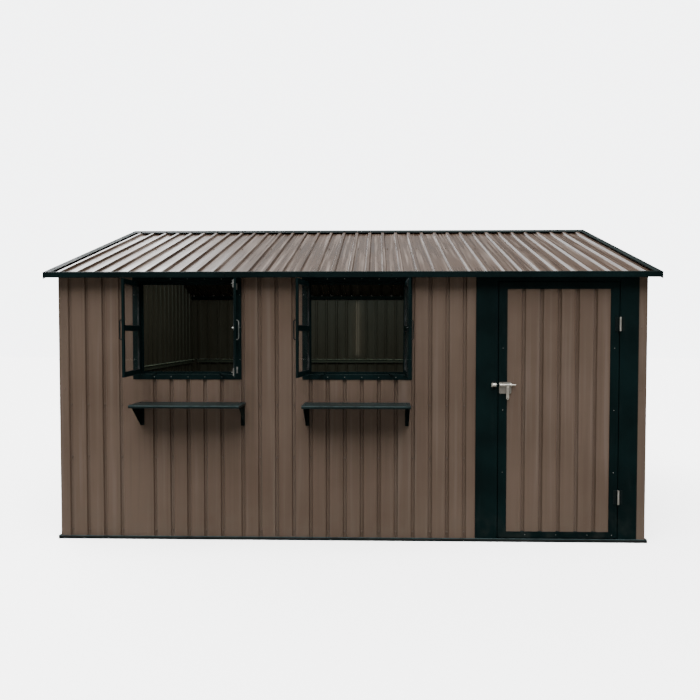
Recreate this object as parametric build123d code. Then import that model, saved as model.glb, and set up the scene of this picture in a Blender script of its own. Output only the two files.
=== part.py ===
"""Ribbed metal garden shed with a hinged door, a sliding pad bolt and two open window hatches.

The frame has +X along the front, +Y into the shed and +Z up. The origin lies on the ground,
under the front wall's outer face, half way along it. All sizes are in millimetres.
"""
from build123d import *
import math
import os

# Shed
LENGTH = 4000.0
DEPTH = 3000.0
HALF = LENGTH / 2
RIDGE_Y = DEPTH / 2
SHEET = 2.0

# Base rails: channels that the wall sheets stand in
RAIL_FLOOR = 3.0
RAIL_OUT = 13.0
RAIL_WIDTH = 64.0
RAIL_LIP = 24.0

# Wall sheets
WALL_TOP = 1812.0
RIB_PITCH = 116.2
GROOVE_WIDTH = 28.0
GROOVE_DEPTH = 12.0
GROOVE_SLOPE = 6.0
LEFT_GROOVE = -1936.0
RIGHT_GROOVE = -631.4
CORNER = 57.0

# Roof
ROOF_ANGLE = 19.0
ROOF_SLOPE = math.tan(math.radians(ROOF_ANGLE))
OVERHANG = 67.0
ROOF_UNDER = 1808.0
ROOF_RIB = 18.0
ROOF_RIB_BASE = 34.0
ROOF_RIB_CREST = 18.0
ROOF_HALF = HALF + OVERHANG - 3.0
CAP_LEG = 115.0
EAVE_TALL = 36.0
EAVE_LIP = 14.0
EAVE_RETURN = 16.0
VERGE_TOP = 48.0
VERGE_OUTER = 42.0

# Inner frame
GIRT_TALL = 40.0
GIRT_OUT = 24.0
FRONT_GIRTS = (567.0, 927.0)
OTHER_GIRTS = (567.0, 1091.0)
PURLIN_TALL = 44.0
BEAM_WIDTH = 44.0
BEAM_TALL = 84.0
TOP_RAIL = 50.0

# Windows: outer frame, then the pair of sashes
WINDOW_LEFTS = {"left": -1487.0, "right": -325.0}
WINDOW_WIDTH = 746.0
WINDOW_LOW = 1103.0
WINDOW_HIGH = 1808.0
FRAME_FACE = 40.0
FRAME_FOOT = 34.0
FRAME_THICK = 3.0
SHEET_INSET = 15.0
REVEAL_DEPTH = 46.0
REVEAL_RETURN = 22.0
SASH_GAP = 3.0
SASH_THICK = 14.0
SASH_STILE = 22.0
SASH_RAIL = 32.0
SASH_MID = 312.0
SASH_ANGLES = {"left": (85.6, 104.4), "right": (97.0, 92.4)}
PANE = 4.0
REBATE = 6.0
REBATE_DEPTH = 8.0

# Hatch fittings
SASH_PIN = 5.0
SASH_PIN_GAP = 0.2
SASH_PIN_IN = 1.0
SASH_HINGE_TALL = 44.0
SASH_HINGE_LEAF = 16.0
SASH_HINGE_PLATE = 2.0
SASH_HINGES = (28.0, 597.0)
HANDLE_Z = 301.0
HANDLE_TALL = 118.0
HANDLE_OUT = 13.0
HANDLE_WIDE = 14.0
HANDLE_THICK = 5.0
HANDLE_BEND = 7.0
STAY_WIDTH = 14.0
STAY_THICK = 3.0
STAY_SILL = (112.0, 22.0)
STAY_ALONG = 150.0
STAY_CLIP = 4.0
SASH_BOLTS = {"low": 34.0, "mid": 312.0, "high": 591.0}
SASH_BOLT_PLATE = (16.0, 52.0, 2.0)
SASH_BOLT_ROD = 4.0
SASH_BOLT_KNOB = 16.0

# Shelves below the windows
SHELF_SPANS = {"left": (-1444.0, -715.0), "right": (-308.0, 405.0)}
SHELF_TOP = 948.0
SHELF_DEPTH = 200.0
SHELF_LIP = 20.0
SHELF_PLATE = 2.5
BRACKET_DEPTH = 170.0
BRACKET_TALL = 158.0
BRACKET_FLANGE = 24.0
BRACKET_NOSE = 8.0
BRACKET_INSET = 6.0

# Doorway and door
FACE = -6.0
POST_LEFT = (852.0, 1000.0)
POST_RIGHT = (1816.0, 1941.0)
POST_DEPTH = 46.0
LEAF_LEFT = 1005.5
LEAF_RIGHT = 1810.0
LEAF_LOW = 30.0
LEAF_HIGH = 1766.5
LEAF_DEPTH = 30.0
STILE = 57.0
TOP_STILE = 48.0
LOW_STILE = 41.0
PANEL_PITCH = 120.0
PANEL_SHIFT = 6.0
PANEL_GROOVES = 5
PANEL_BACK = 4.0

# Hinges
PIN_X = 1813.0
PIN_Y = -15.0
KNUCKLE = 8.0
PIN = 3.0
PIN_GAP = 0.3
HINGE_TALL = 95.0
HINGE_LOWS = (263.0, 1435.0)
KNUCKLE_GAP = 1.0
HINGE_LEAF = 30.0
HINGE_PLATE = 3.0

# Pad bolt
BOLT_Z = 1071.0
BOLT_Y = -18.0
ROD = 5.0
ROD_GAP = 0.5
BOLT_TIP = 1009.0
BOLT_TAIL = 1118.0
PLATE_LEFT = 1009.0
PLATE_RIGHT = 1091.0
PLATE_LOW = 1012.0
PLATE_HIGH = 1090.0
PLATE_THICK = 2.5
PLATE_CLIP = 6.0
GUIDE = 12.0
GUIDE_WALL = 4.0
FLAG_X = 1065.0
FLAG_WIDTH = 18.0
FLAG_THICK = 4.0
FLAG_DROP = 98.0
KEEPER_LEFT = 958.0
KEEPER_RIGHT = 990.0
KEEPER_LOW = 1046.0
KEEPER_WIDE = 24.0
KEEPER_HOLE = 8.0


def offset_line(points, amount):
    """Move a bent line to its left by an amount, mitred at each bend."""
    normals = []
    for a, b in zip(points, points[1:]):
        run = math.hypot(b[0] - a[0], b[1] - a[1])
        normals.append(((a[1] - b[1]) / run, (b[0] - a[0]) / run))
    moved = []
    for i, point in enumerate(points):
        before = normals[max(i - 1, 0)]
        after = normals[min(i, len(normals) - 1)]
        k = amount / (1 + before[0] * after[0] + before[1] * after[1])
        moved.append((point[0] + k * (before[0] + after[0]), point[1] + k * (before[1] + after[1])))
    return moved


def outline_face(points):
    """Face inside a closed outline of (x, y) points."""
    return make_face(Polyline(*points, close=True).edges())


def folded_face(line, thick):
    """Section of a sheet folded along a bent line, its thickness on the line's left."""
    return outline_face(line + offset_line(line, thick)[::-1])


def clipped_face(wide, tall, clip):
    """Centred rectangle with its corners clipped off."""
    x = wide / 2
    y = tall / 2
    corner = [(x, y - clip), (x - clip, y)]
    top = corner + [(-a, b) for a, b in corner[::-1]]
    return outline_face(top + [(-a, -b) for a, b in top])


def along_z(face, low, high):
    """Solid with an XY section between two heights."""
    return extrude(Pos(0, 0, low) * face, high - low, dir=(0, 0, 1))


def along_x(face, left, right):
    """Solid with a section drawn as (y, z) between two X places."""
    return extrude(Pos(left, 0, 0) * (Plane.YZ * face), right - left, dir=(1, 0, 0))


def box(x0, x1, y0, y1, z0, z1):
    """Box between two corners."""
    return Pos((x0 + x1) / 2, (y0 + y1) / 2, (z0 + z1) / 2) * Box(x1 - x0, y1 - y0, z1 - z0)


def to_back(part):
    """Mirror a piece of the front half to the back half."""
    return mirror(part, about=Plane(origin=(0, RIDGE_Y, 0), z_dir=(0, 1, 0)))


def to_right(part):
    """Mirror a piece of the left half to the right half."""
    return mirror(part, about=Plane.YZ)


def roof_under(y):
    """Height of the roof sheet's underside at a depth."""
    return ROOF_UNDER + ROOF_SLOPE * (min(y, DEPTH - y) + OVERHANG)


def roof_crest(y):
    """Height of the roof ribs' tops at a depth."""
    return roof_under(y) + ROOF_RIB / math.cos(math.radians(ROOF_ANGLE))


def groove_line(start, end, first, pitch, depth=GROOVE_DEPTH):
    """Line of a sheet with recessed grooves, drawn from start to end."""
    line = [(start, 0.0)]
    count = math.ceil((end - first) / pitch)
    for i in range(math.ceil((start - first) / pitch), count):
        left = first + i * pitch
        right = left + GROOVE_WIDTH
        if left < start + GROOVE_SLOPE or right > end - GROOVE_SLOPE:
            continue
        line.append((left, 0.0))
        line.append((left + GROOVE_SLOPE, depth))
        line.append((right - GROOVE_SLOPE, depth))
        line.append((right, 0.0))
    line.append((end, 0.0))
    return line


def wall_sheet(start, end, first, low, high):
    """Grooved sheet of the front wall."""
    return along_z(folded_face(groove_line(start, end, first, RIB_PITCH), SHEET), low, high)


def front_sheets():
    """Sheets of the front wall, split at the windows and at the doorway."""
    inset = SHEET_INSET
    left0 = WINDOW_LEFTS["left"] + inset
    left1 = WINDOW_LEFTS["left"] + WINDOW_WIDTH - inset
    right0 = WINDOW_LEFTS["right"] + inset
    right1 = WINDOW_LEFTS["right"] + WINDOW_WIDTH - inset
    low = RAIL_FLOOR
    sill = WINDOW_LOW + inset
    return {
        "front_wall_left": wall_sheet(CORNER - HALF, left0, LEFT_GROOVE, low, WALL_TOP),
        "front_wall_under_left_window": wall_sheet(left0, left1, LEFT_GROOVE, low, sill),
        "front_wall_middle": wall_sheet(left1, right0, RIGHT_GROOVE, low, WALL_TOP),
        "front_wall_under_right_window": wall_sheet(right0, right1, RIGHT_GROOVE, low, sill),
        "front_wall_right": wall_sheet(right1, POST_LEFT[0], RIGHT_GROOVE, low, WALL_TOP),
    }


def back_sheet():
    """Grooved sheet of the back wall."""
    return to_back(wall_sheet(CORNER - HALF, HALF - CORNER, LEFT_GROOVE, RAIL_FLOOR, WALL_TOP))


def gable_sheet():
    """Left gable wall, cut off under both roof slopes."""
    start = CORNER
    end = DEPTH - CORNER
    line = groove_line(start, end, start + RIB_PITCH / 2, RIB_PITCH)
    section = line + offset_line(line, SHEET)[::-1]
    face = outline_face([(depth - HALF, DEPTH - along) for along, depth in section])
    tall = along_z(face, RAIL_FLOOR, roof_under(RIDGE_Y) + 1)
    corners = [(start, 0), (end, 0), (end, roof_under(end)), (RIDGE_Y, roof_under(RIDGE_Y))]
    pentagon = outline_face(corners + [(start, roof_under(start))])
    return tall & along_x(pentagon, -HALF - 1, 2 * CORNER - HALF)


def corner_posts():
    """Angle posts at the four corners."""
    line = [(CORNER - HALF, 0.0), (-HALF, 0.0), (-HALF, CORNER)]
    face = folded_face(line[::-1], SHEET)
    post = along_z(face, RAIL_FLOOR, WALL_TOP)
    left = [post, to_back(post)]
    return left + [to_right(p) for p in left]


def rail_section():
    """Section of a base rail as (out, up), with its outer lip at the low end."""
    end = RAIL_WIDTH - RAIL_OUT
    line = [(-RAIL_OUT, RAIL_LIP), (-RAIL_OUT, 0.0), (end, 0.0), (end, RAIL_LIP)]
    return line + offset_line(line, RAIL_FLOOR)[::-1]


def base_rails():
    """Channels on the ground under the four walls, mitred at the corners."""
    x0 = -HALF - RAIL_OUT
    x1 = x0 + RAIL_WIDTH
    y0 = -RAIL_OUT
    y1 = y0 + RAIL_WIDTH
    front_mitre = outline_face([(x0, y0), (-x0, y0), (-x1, y1), (x1, y1)])
    left_mitre = outline_face([(x0, y0), (x1, y1), (x1, DEPTH - y1), (x0, DEPTH - y0)])
    front = along_x(outline_face(rail_section()), x0, -x0) & along_z(front_mitre, 0, RAIL_LIP)
    side_face = Plane.XZ * outline_face(rail_section())
    left = extrude(Pos(-HALF, y0, 0) * side_face, DEPTH - 2 * y0, dir=(0, 1, 0))
    left = left & along_z(left_mitre, 0, RAIL_LIP)
    return {
        "base_rail_front": front,
        "base_rail_back": to_back(front),
        "base_rail_left": left,
        "base_rail_right": to_right(left),
    }


def top_rail():
    """Tube along the top of the front wall, its top laid to the roof's slope."""
    line = [(0.0, WALL_TOP), (TOP_RAIL, WALL_TOP), (TOP_RAIL, roof_under(TOP_RAIL)), (0.0, roof_under(0.0))]
    outer = outline_face(line)
    inner = offset(outer, -SHEET)
    return along_x(outer - inner, -HALF, HALF)


def girt_section():
    """Section of a girt as (in, up): a channel whose web lies on the sheet's grooves."""
    web = GROOVE_DEPTH + SHEET
    toe = web + GIRT_OUT
    half = GIRT_TALL / 2
    line = [(toe, half), (web, half), (web, -half), (toe, -half)]
    return line + offset_line(line, SHEET)[::-1]


def wall_girts():
    """Channels that stiffen the walls inside."""
    face = outline_face(girt_section())
    inside = GROOVE_DEPTH + SHEET + GIRT_OUT
    girts = []
    for z in FRONT_GIRTS:
        girts.append(Pos(0, 0, z) * along_x(face, CORNER - HALF, POST_LEFT[0]))
    side = extrude(Pos(-HALF, inside + 20, 0) * (Plane.XZ * face), DEPTH - 2 * inside - 40, dir=(0, 1, 0))
    for z in OTHER_GIRTS:
        girts.append(Pos(0, 0, z) * to_back(along_x(face, CORNER - HALF, HALF - CORNER)))
        girts.append(Pos(0, 0, z) * side)
        girts.append(Pos(0, 0, z) * to_right(side))
    return girts


def ridge_beam():
    """Tube under the ridge between the gables."""
    top = roof_under(RIDGE_Y - BEAM_WIDTH / 2)
    end = HALF - GROOVE_DEPTH - SHEET
    outer = box(-end, end, RIDGE_Y - BEAM_WIDTH / 2, RIDGE_Y + BEAM_WIDTH / 2, top - BEAM_TALL, top)
    wall = BEAM_WIDTH / 2 - SHEET
    inner = box(-end, end, RIDGE_Y - wall, RIDGE_Y + wall, top - BEAM_TALL + SHEET, top - SHEET)
    return outer - inner


def tilt_front(part):
    """Lay a piece drawn flat (Y up the slope, Z out of it) on the front slope, cut plumb at its ends."""
    laid = Pos(0, -OVERHANG, ROOF_UNDER) * Rot(ROOF_ANGLE, 0, 0) * part
    low = ROOF_UNDER - 200
    return laid & box(-HALF - 200, HALF + 200, -OVERHANG, RIDGE_Y, low, low + 1200)


def slope_length():
    """Length along a slope with room to be cut plumb."""
    return (RIDGE_Y + OVERHANG) / math.cos(math.radians(ROOF_ANGLE)) + 60


def roof_purlin():
    """Channel under the middle of the front slope."""
    end = HALF - GROOVE_DEPTH - SHEET
    middle = slope_length() / 2
    toe = middle + GIRT_OUT
    line = [(toe, 0.0), (middle, 0.0), (middle, -PURLIN_TALL), (toe, -PURLIN_TALL)]
    return tilt_front(along_x(folded_face(line, SHEET), -end, end))


def roof_front():
    """Roof sheet with raised ribs on the front slope."""
    line = [(-ROOF_HALF, 0.0)]
    count = int((2 * ROOF_HALF - RIB_PITCH) / RIB_PITCH) + 1
    foot = (ROOF_RIB_BASE - ROOF_RIB_CREST) / 2
    rise = ROOF_RIB - SHEET
    for i in range(count):
        middle = (i - (count - 1) / 2) * RIB_PITCH
        line.append((middle - ROOF_RIB_BASE / 2, 0.0))
        line.append((middle - ROOF_RIB_BASE / 2 + foot, rise))
        line.append((middle + ROOF_RIB_BASE / 2 - foot, rise))
        line.append((middle + ROOF_RIB_BASE / 2, 0.0))
    line.append((ROOF_HALF, 0.0))
    face = Plane.XZ * folded_face(line, SHEET)
    return tilt_front(extrude(Pos(0, -30, 0) * face, slope_length(), dir=(0, 1, 0)))


def ridge_cap():
    """Folded cap over the ridge, resting on the ribs."""
    run = CAP_LEG * math.cos(math.radians(ROOF_ANGLE))
    line = [(y, roof_crest(y)) for y in (RIDGE_Y - run, RIDGE_Y, RIDGE_Y + run)]
    side = HALF + OVERHANG - VERGE_TOP - 1
    return along_x(folded_face(line, SHEET), -side, side)


def eave_trim():
    """Fascia over the front edge of the roof sheet, with a lip on the ribs and a return below."""
    edge = -OVERHANG
    top = roof_crest(edge) + SHEET
    low = top - EAVE_TALL
    end = HALF + OVERHANG + SHEET
    fascia = box(-end, end, edge - SHEET, edge, low, top)
    fascia += box(1 - HALF - OVERHANG, HALF + OVERHANG - 1, edge, edge + EAVE_RETURN, low, low + SHEET)
    lip_line = [(edge - SHEET, roof_crest(edge - SHEET)), (edge + EAVE_LIP, roof_crest(edge + EAVE_LIP))]
    side = HALF + OVERHANG - VERGE_TOP - 1
    return fascia + along_x(folded_face(lip_line, SHEET), -side, side)


def verge_trim_left():
    """Folded trim over the roof's left edge, one length for each slope."""
    outer = -HALF - OVERHANG
    crest = ROOF_RIB
    line = [(outer, crest - VERGE_OUTER), (outer, crest), (outer + VERGE_TOP, crest)]
    face = Plane.XZ * folded_face(line, SHEET)
    front = tilt_front(extrude(Pos(0, -30, 0) * face, slope_length(), dir=(0, 1, 0)))
    return [front, to_back(front)]


def ring(x0, x1, z0, z1, wide, foot, y0, y1):
    """Rectangular ring, its outer edges given, of one width but for its foot."""
    hole = box(x0 + wide, x1 - wide, y0 - 1, y1 + 1, z0 + foot, z1 - wide)
    return box(x0, x1, y0, y1, z0, z1) - hole


def window_frame(side):
    """Formed frame of a window: a flange on the wall, a reveal and a return inside."""
    x0 = WINDOW_LEFTS[side]
    x1 = x0 + WINDOW_WIDTH
    t = FRAME_THICK
    back = REVEAL_DEPTH
    frame = ring(x0, x1, WINDOW_LOW, WINDOW_HIGH, FRAME_FACE, FRAME_FOOT, -t, 0)
    for wide, front in ((t, -t), (REVEAL_RETURN, back - t)):
        i = FRAME_FACE - wide
        low = WINDOW_LOW + FRAME_FOOT - wide
        frame += ring(x0 + i, x1 - i, low, WINDOW_HIGH - i, wide, wide, front, back)
    return frame


def sash_size():
    """Width and height of one sash."""
    width = (WINDOW_WIDTH - 2 * FRAME_FACE - 2 * SASH_PIN_IN - SASH_GAP) / 2
    height = WINDOW_HIGH - WINDOW_LOW - FRAME_FACE - FRAME_FOOT - 2 * SASH_GAP
    return width, height


def sash_lights():
    """Low and high edges of a sash's two lights."""
    _, height = sash_size()
    return ((SASH_RAIL, SASH_MID - SASH_RAIL / 2), (SASH_MID + SASH_RAIL / 2, height - SASH_RAIL))


def flat_sash():
    """Sash drawn shut with its outer hinge corner on the Z axis, its two lights rebated from outside."""
    width, height = sash_size()
    slab = box(0, width, 0, SASH_THICK, 0, height)
    x0 = SASH_STILE
    x1 = width - SASH_STILE
    r = REBATE
    for low, high in sash_lights():
        slab -= box(x0, x1, -1, SASH_THICK + 1, low, high)
        slab -= box(x0 - r, x1 + r, -1, REBATE_DEPTH, low - r, high + r)
    for z in SASH_HINGES:
        slab -= Pos(0, 0, z) * Cylinder(SASH_PIN + SASH_PIN_GAP, SASH_HINGE_TALL + 1)
    return slab


def flat_panes():
    """The two panes of a flat sash, lying in their rebates."""
    width, _ = sash_size()
    y = REBATE_DEPTH
    r = REBATE - 1
    x0 = SASH_STILE - r
    x1 = width - SASH_STILE + r
    return [box(x0, x1, y - PANE, y, low - r, high + r) for low, high in sash_lights()]


def flat_handle():
    """Bent strap handle on the outside of a flat sash's free stile."""
    width, _ = sash_size()
    x = width - SASH_STILE / 2
    out = -HANDLE_OUT
    low = HANDLE_Z - HANDLE_TALL / 2
    high = HANDLE_Z + HANDLE_TALL / 2
    bend = HANDLE_BEND
    low_leg = [(0, low), (out + bend, low), (out, low + bend)]
    high_leg = [(out, high - bend), (out + bend, high), (0, high)]
    strap = folded_face(low_leg + high_leg, HANDLE_THICK)
    return along_x(strap, x - HANDLE_WIDE / 2, x + HANDLE_WIDE / 2)


def flat_bolts():
    """Two small bolts and a catch on the inside of a flat sash's free stile."""
    width, _ = sash_size()
    x = width - SASH_STILE / 2
    wide, tall, thick = SASH_BOLT_PLATE
    fittings = []
    for place, z in SASH_BOLTS.items():
        half = tall / 2 if place != "mid" else wide
        plate = box(x - wide / 2, x + wide / 2, 0, thick, z - half, z + half)
        if place == "mid":
            knob = Pos(x, thick + 5, z) * Rot(90, 0, 0) * Cylinder(wide / 2 - 1, 10)
        else:
            knob = Pos(x, SASH_BOLT_ROD, z) * Cylinder(SASH_BOLT_ROD, tall - 6)
            knob += box(x - 3, x + 3, SASH_BOLT_ROD, SASH_BOLT_KNOB, z - 3, z + 3)
        fittings.append(Pos(0, SASH_THICK, 0) * (plate + knob))
    return fittings


def sash_angle(side, hand):
    """Angle to which a sash stands open."""
    return SASH_ANGLES[side][0 if hand == "left" else 1]


def at_hinge(part, side, hand):
    """Put a piece drawn about a left sash's hinge line at its place in a window."""
    low = WINDOW_LOW + FRAME_FOOT + SASH_GAP
    y = -FRAME_THICK - SASH_PIN
    if hand == "left":
        return Pos(WINDOW_LEFTS[side] + FRAME_FACE + SASH_PIN_IN, y, low) * part
    x = WINDOW_LEFTS[side] + WINDOW_WIDTH - FRAME_FACE - SASH_PIN_IN
    return Pos(x, y, low) * mirror(part, about=Plane.YZ)


def open_sash(part, side, hand):
    """Swing a piece of a flat sash open at its place in a window."""
    return at_hinge(Rot(0, 0, -sash_angle(side, hand)) * part, side, hand)


def sash_hinges(side, hand):
    """Butt hinges of a sash: a barrel on the hinge line and a leaf on the frame."""
    pieces = []
    t = SASH_HINGE_PLATE
    for z in SASH_HINGES:
        z0 = z - SASH_HINGE_TALL / 2
        z1 = z + SASH_HINGE_TALL / 2
        barrel = Pos(0, 0, z) * Cylinder(SASH_PIN, SASH_HINGE_TALL)
        leaf = box(-SASH_HINGE_LEAF, 0, SASH_PIN - t, SASH_PIN, z0, z1)
        pieces.append(at_hinge(barrel + leaf, side, hand))
    return pieces


def sash_stay(side, hand):
    """Flat bar that holds a sash open, from a pin on the sill to the sash's inner face."""
    angle = math.radians(sash_angle(side, hand))
    x0, y0 = STAY_SILL
    reach = SASH_THICK + STAY_WIDTH / 2
    x1 = STAY_ALONG * math.cos(angle) + reach * math.sin(angle)
    y1 = reach * math.cos(angle) - STAY_ALONG * math.sin(angle)
    run = math.hypot(x1 - x0, y1 - y0)
    turn = math.degrees(math.atan2(y1 - y0, x1 - x0))
    bar = extrude(clipped_face(run + STAY_WIDTH, STAY_WIDTH, STAY_CLIP), STAY_THICK, dir=(0, 0, 1))
    bar = Pos((x0 + x1) / 2, (y0 + y1) / 2, SASH_GAP) * Rot(0, 0, turn) * bar
    pin = Pos(x0, y0, SASH_GAP / 2) * Cylinder(STAY_WIDTH / 3, 3 * SASH_GAP)
    return at_hinge(bar + pin, side, hand)


def shelf(side):
    """Folded tray shelf under a window, open at the wall."""
    x0, x1 = SHELF_SPANS[side]
    tray = box(x0, x1, -SHELF_DEPTH, 0, SHELF_TOP - SHELF_LIP, SHELF_TOP)
    t = SHELF_PLATE
    return tray - box(x0 + t, x1 - t, t - SHELF_DEPTH, 1, SHELF_TOP - SHELF_LIP - 1, SHELF_TOP - t)


def shelf_brackets(side):
    """Two folded gussets under a shelf."""
    t = SHELF_PLATE
    top = SHELF_TOP - t
    low = top - BRACKET_TALL
    tip = -BRACKET_DEPTH
    web = outline_face([(0, top), (tip, top), (tip, top - BRACKET_NOSE), (-BRACKET_NOSE, low), (0, low)])
    pieces = []
    x0 = SHELF_SPANS[side][0] + BRACKET_INSET
    x1 = SHELF_SPANS[side][1] - BRACKET_INSET
    for x, way in ((x0, 1), (x1, -1)):
        left, right = sorted((x, x + way * BRACKET_FLANGE))
        plate_left = x if way > 0 else x - t
        gusset = along_x(web, plate_left, plate_left + t)
        gusset += box(left, right, -t, 0, low, top)
        gusset += box(left, right, tip, 0, top - t, top)
        pieces.append(gusset)
    return pieces


def door_post(x0, x1):
    """Formed post beside the doorway: a channel open to the inside."""
    t = SHEET
    outer = box(x0, x1, FACE, FACE + POST_DEPTH, RAIL_FLOOR, WALL_TOP)
    return outer - box(x0 + t, x1 - t, FACE + t, FACE + POST_DEPTH + 1, RAIL_FLOOR - 1, WALL_TOP + 1)


def door_header():
    """Formed rail over the doorway."""
    t = SHEET
    low = LEAF_HIGH + 5.5
    outer = box(POST_LEFT[1], POST_RIGHT[0], FACE, FACE + POST_DEPTH, low, WALL_TOP)
    return outer - box(POST_LEFT[1], POST_RIGHT[0], FACE + t, FACE + POST_DEPTH + 1, low + t, WALL_TOP - t)


def leaf_ring(edge, y0, y1):
    """Ring of the door leaf between its outer and inner edges, both drawn in by an amount."""
    outer = box(LEAF_LEFT + edge, LEAF_RIGHT - edge, y0, y1, LEAF_LOW + edge, LEAF_HIGH - edge)
    x0 = LEAF_LEFT + STILE - edge
    x1 = LEAF_RIGHT - STILE + edge
    return outer - box(x0, x1, y0 - 1, y1 + 1, LEAF_LOW + LOW_STILE - edge, LEAF_HIGH - TOP_STILE + edge)


def door_frame():
    """Frame of the door leaf: stiles and rails formed as one pan, open to the inside."""
    back = FACE + LEAF_DEPTH
    return leaf_ring(0, FACE, back) - leaf_ring(SHEET, FACE + SHEET, back + 1)


def door_panel():
    """Grooved sheet that fills the door's frame."""
    x0 = LEAF_LEFT + STILE
    x1 = LEAF_RIGHT - STILE
    middle = (x0 + x1) / 2 + PANEL_SHIFT
    first = middle - GROOVE_WIDTH / 2 - PANEL_PITCH * (PANEL_GROOVES - 1) / 2
    face = folded_face(groove_line(x0, x1, first, PANEL_PITCH), SHEET)
    return Pos(0, FACE + PANEL_BACK, 0) * along_z(face, LEAF_LOW + LOW_STILE, LEAF_HIGH - TOP_STILE)


def knuckle(low, high):
    """Bored barrel of a hinge between two heights."""
    barrel = Pos(PIN_X, PIN_Y, (low + high) / 2) * Cylinder(KNUCKLE, high - low)
    return barrel - Pos(PIN_X, PIN_Y, (low + high) / 2) * Cylinder(PIN + PIN_GAP, high - low + 2)


def door_hinge(low):
    """Leaf of a hinge on the door, with the middle knuckle."""
    third = HINGE_TALL / 3
    z0 = low + third + KNUCKLE_GAP
    z1 = low + 2 * third - KNUCKLE_GAP
    plate = box(PIN_X - HINGE_LEAF, PIN_X - 4, FACE - HINGE_PLATE, FACE, low, low + HINGE_TALL)
    web = box(PIN_X - 5, PIN_X, FACE - HINGE_PLATE, FACE - 1, z0, z1)
    bore = Pos(PIN_X, PIN_Y, low + HINGE_TALL / 2) * Cylinder(KNUCKLE + 1, HINGE_TALL + 2)
    return (plate - bore) + web + knuckle(z0, z1)


def post_hinge(low):
    """Leaf of a hinge on the post, with the outer knuckles and the pin."""
    third = HINGE_TALL / 3
    plate = box(PIN_X + 4, PIN_X + HINGE_LEAF, FACE - HINGE_PLATE, FACE, low, low + HINGE_TALL)
    bore = Pos(PIN_X, PIN_Y, low + HINGE_TALL / 2) * Cylinder(KNUCKLE + 1, HINGE_TALL + 2)
    leaf = plate - bore
    for z0 in (low, low + 2 * third):
        barrel = Pos(PIN_X, PIN_Y, z0 + third / 2) * Cylinder(KNUCKLE, third)
        leaf += barrel + box(PIN_X, PIN_X + 5, FACE - HINGE_PLATE, FACE - 1, z0, z0 + third)
    return leaf + Pos(PIN_X, PIN_Y, low + HINGE_TALL / 2) * Cylinder(PIN, HINGE_TALL)


def rod_along_x(radius, left, right):
    """Round bar on the pad bolt's axis."""
    return Pos((left + right) / 2, BOLT_Y, BOLT_Z) * Rot(0, 90, 0) * Cylinder(radius, right - left)


def plate_on_face(left, right, low, high):
    """Plate with clipped corners on the doorway's front face."""
    face = Plane.XZ * clipped_face(right - left, high - low, PLATE_CLIP)
    return extrude(Pos((left + right) / 2, FACE, (low + high) / 2) * face, PLATE_THICK, dir=(0, -1, 0))


def loop_on_face(left, right, hole, wall):
    """Loop that stands on a plate around the pad bolt's axis."""
    reach = hole + wall
    foot = box(left, right, BOLT_Y, FACE - PLATE_THICK, BOLT_Z - reach, BOLT_Z + reach)
    return rod_along_x(reach, left, right) + foot - rod_along_x(hole, left - 1, right + 1)


def latch_plate():
    """Back plate of the pad bolt on the door, with its two guides."""
    plate = plate_on_face(PLATE_LEFT, PLATE_RIGHT, PLATE_LOW, PLATE_HIGH)
    for x0 in (PLATE_LEFT, PLATE_RIGHT - GUIDE):
        plate += loop_on_face(x0, x0 + GUIDE, ROD + ROD_GAP, GUIDE_WALL)
    return plate


def latch_bolt():
    """Rod of the pad bolt with its hanging flag, rounded at the end."""
    half = FLAG_WIDTH / 2
    tall = FLAG_DROP - half
    flag = Pos(FLAG_X, BOLT_Y, BOLT_Z - tall / 2) * Box(FLAG_WIDTH, FLAG_THICK, tall)
    flag += Pos(FLAG_X, BOLT_Y, BOLT_Z - tall) * Rot(90, 0, 0) * Cylinder(half, FLAG_THICK)
    flag -= Pos(FLAG_X, BOLT_Y, BOLT_Z - tall) * Rot(90, 0, 0) * Cylinder(half / 2, FLAG_THICK + 2)
    return rod_along_x(ROD, BOLT_TIP, BOLT_TAIL) + flag


def latch_keeper():
    """Keeper of the pad bolt on the post."""
    middle = (KEEPER_LEFT + KEEPER_RIGHT) / 2
    plate = plate_on_face(KEEPER_LEFT, KEEPER_RIGHT, KEEPER_LOW, 2 * BOLT_Z - KEEPER_LOW)
    return plate + loop_on_face(middle - KEEPER_WIDE / 2, middle + KEEPER_WIDE / 2, KEEPER_HOLE, GUIDE_WALL)


def roof_nodes():
    """Roof sheets, what carries them and what trims their edges."""
    verges = verge_trim_left()
    return {
        "roof_purlins": [ridge_beam(), roof_purlin(), to_back(roof_purlin())],
        "roof_front": roof_front(),
        "roof_back": to_back(roof_front()),
        "ridge_cap": ridge_cap(),
        "eave_trims": [eave_trim(), to_back(eave_trim())],
        "verge_trims": verges + [to_right(trim) for trim in verges],
    }


def window_nodes():
    """Frames, sashes and fittings of both windows; like fittings share a node."""
    places = [(side, hand) for side in WINDOW_LEFTS for hand in ("left", "right")]
    nodes = {f"window_frame_{side}": window_frame(side) for side in WINDOW_LEFTS}
    for side, hand in places:
        nodes[f"{side}_window_{hand}_sash"] = open_sash(flat_sash(), side, hand)
    nodes["window_glass"] = [open_sash(pane, *place) for place in places for pane in flat_panes()]
    nodes["window_handles"] = [open_sash(flat_handle(), *place) for place in places]
    nodes["window_hinges"] = [hinge for place in places for hinge in sash_hinges(*place)]
    nodes["window_stays"] = [sash_stay(*place) for place in places]
    rights = [place for place in places if place[1] == "right"]
    nodes["window_bolts"] = [open_sash(bolt, *place) for place in rights for bolt in flat_bolts()]
    return nodes


def shelf_nodes():
    """Shelves under the windows and their brackets."""
    nodes = {f"shelf_{side}": shelf(side) for side in WINDOW_LEFTS}
    nodes["shelf_brackets"] = [bracket for side in WINDOW_LEFTS for bracket in shelf_brackets(side)]
    return nodes


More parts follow.
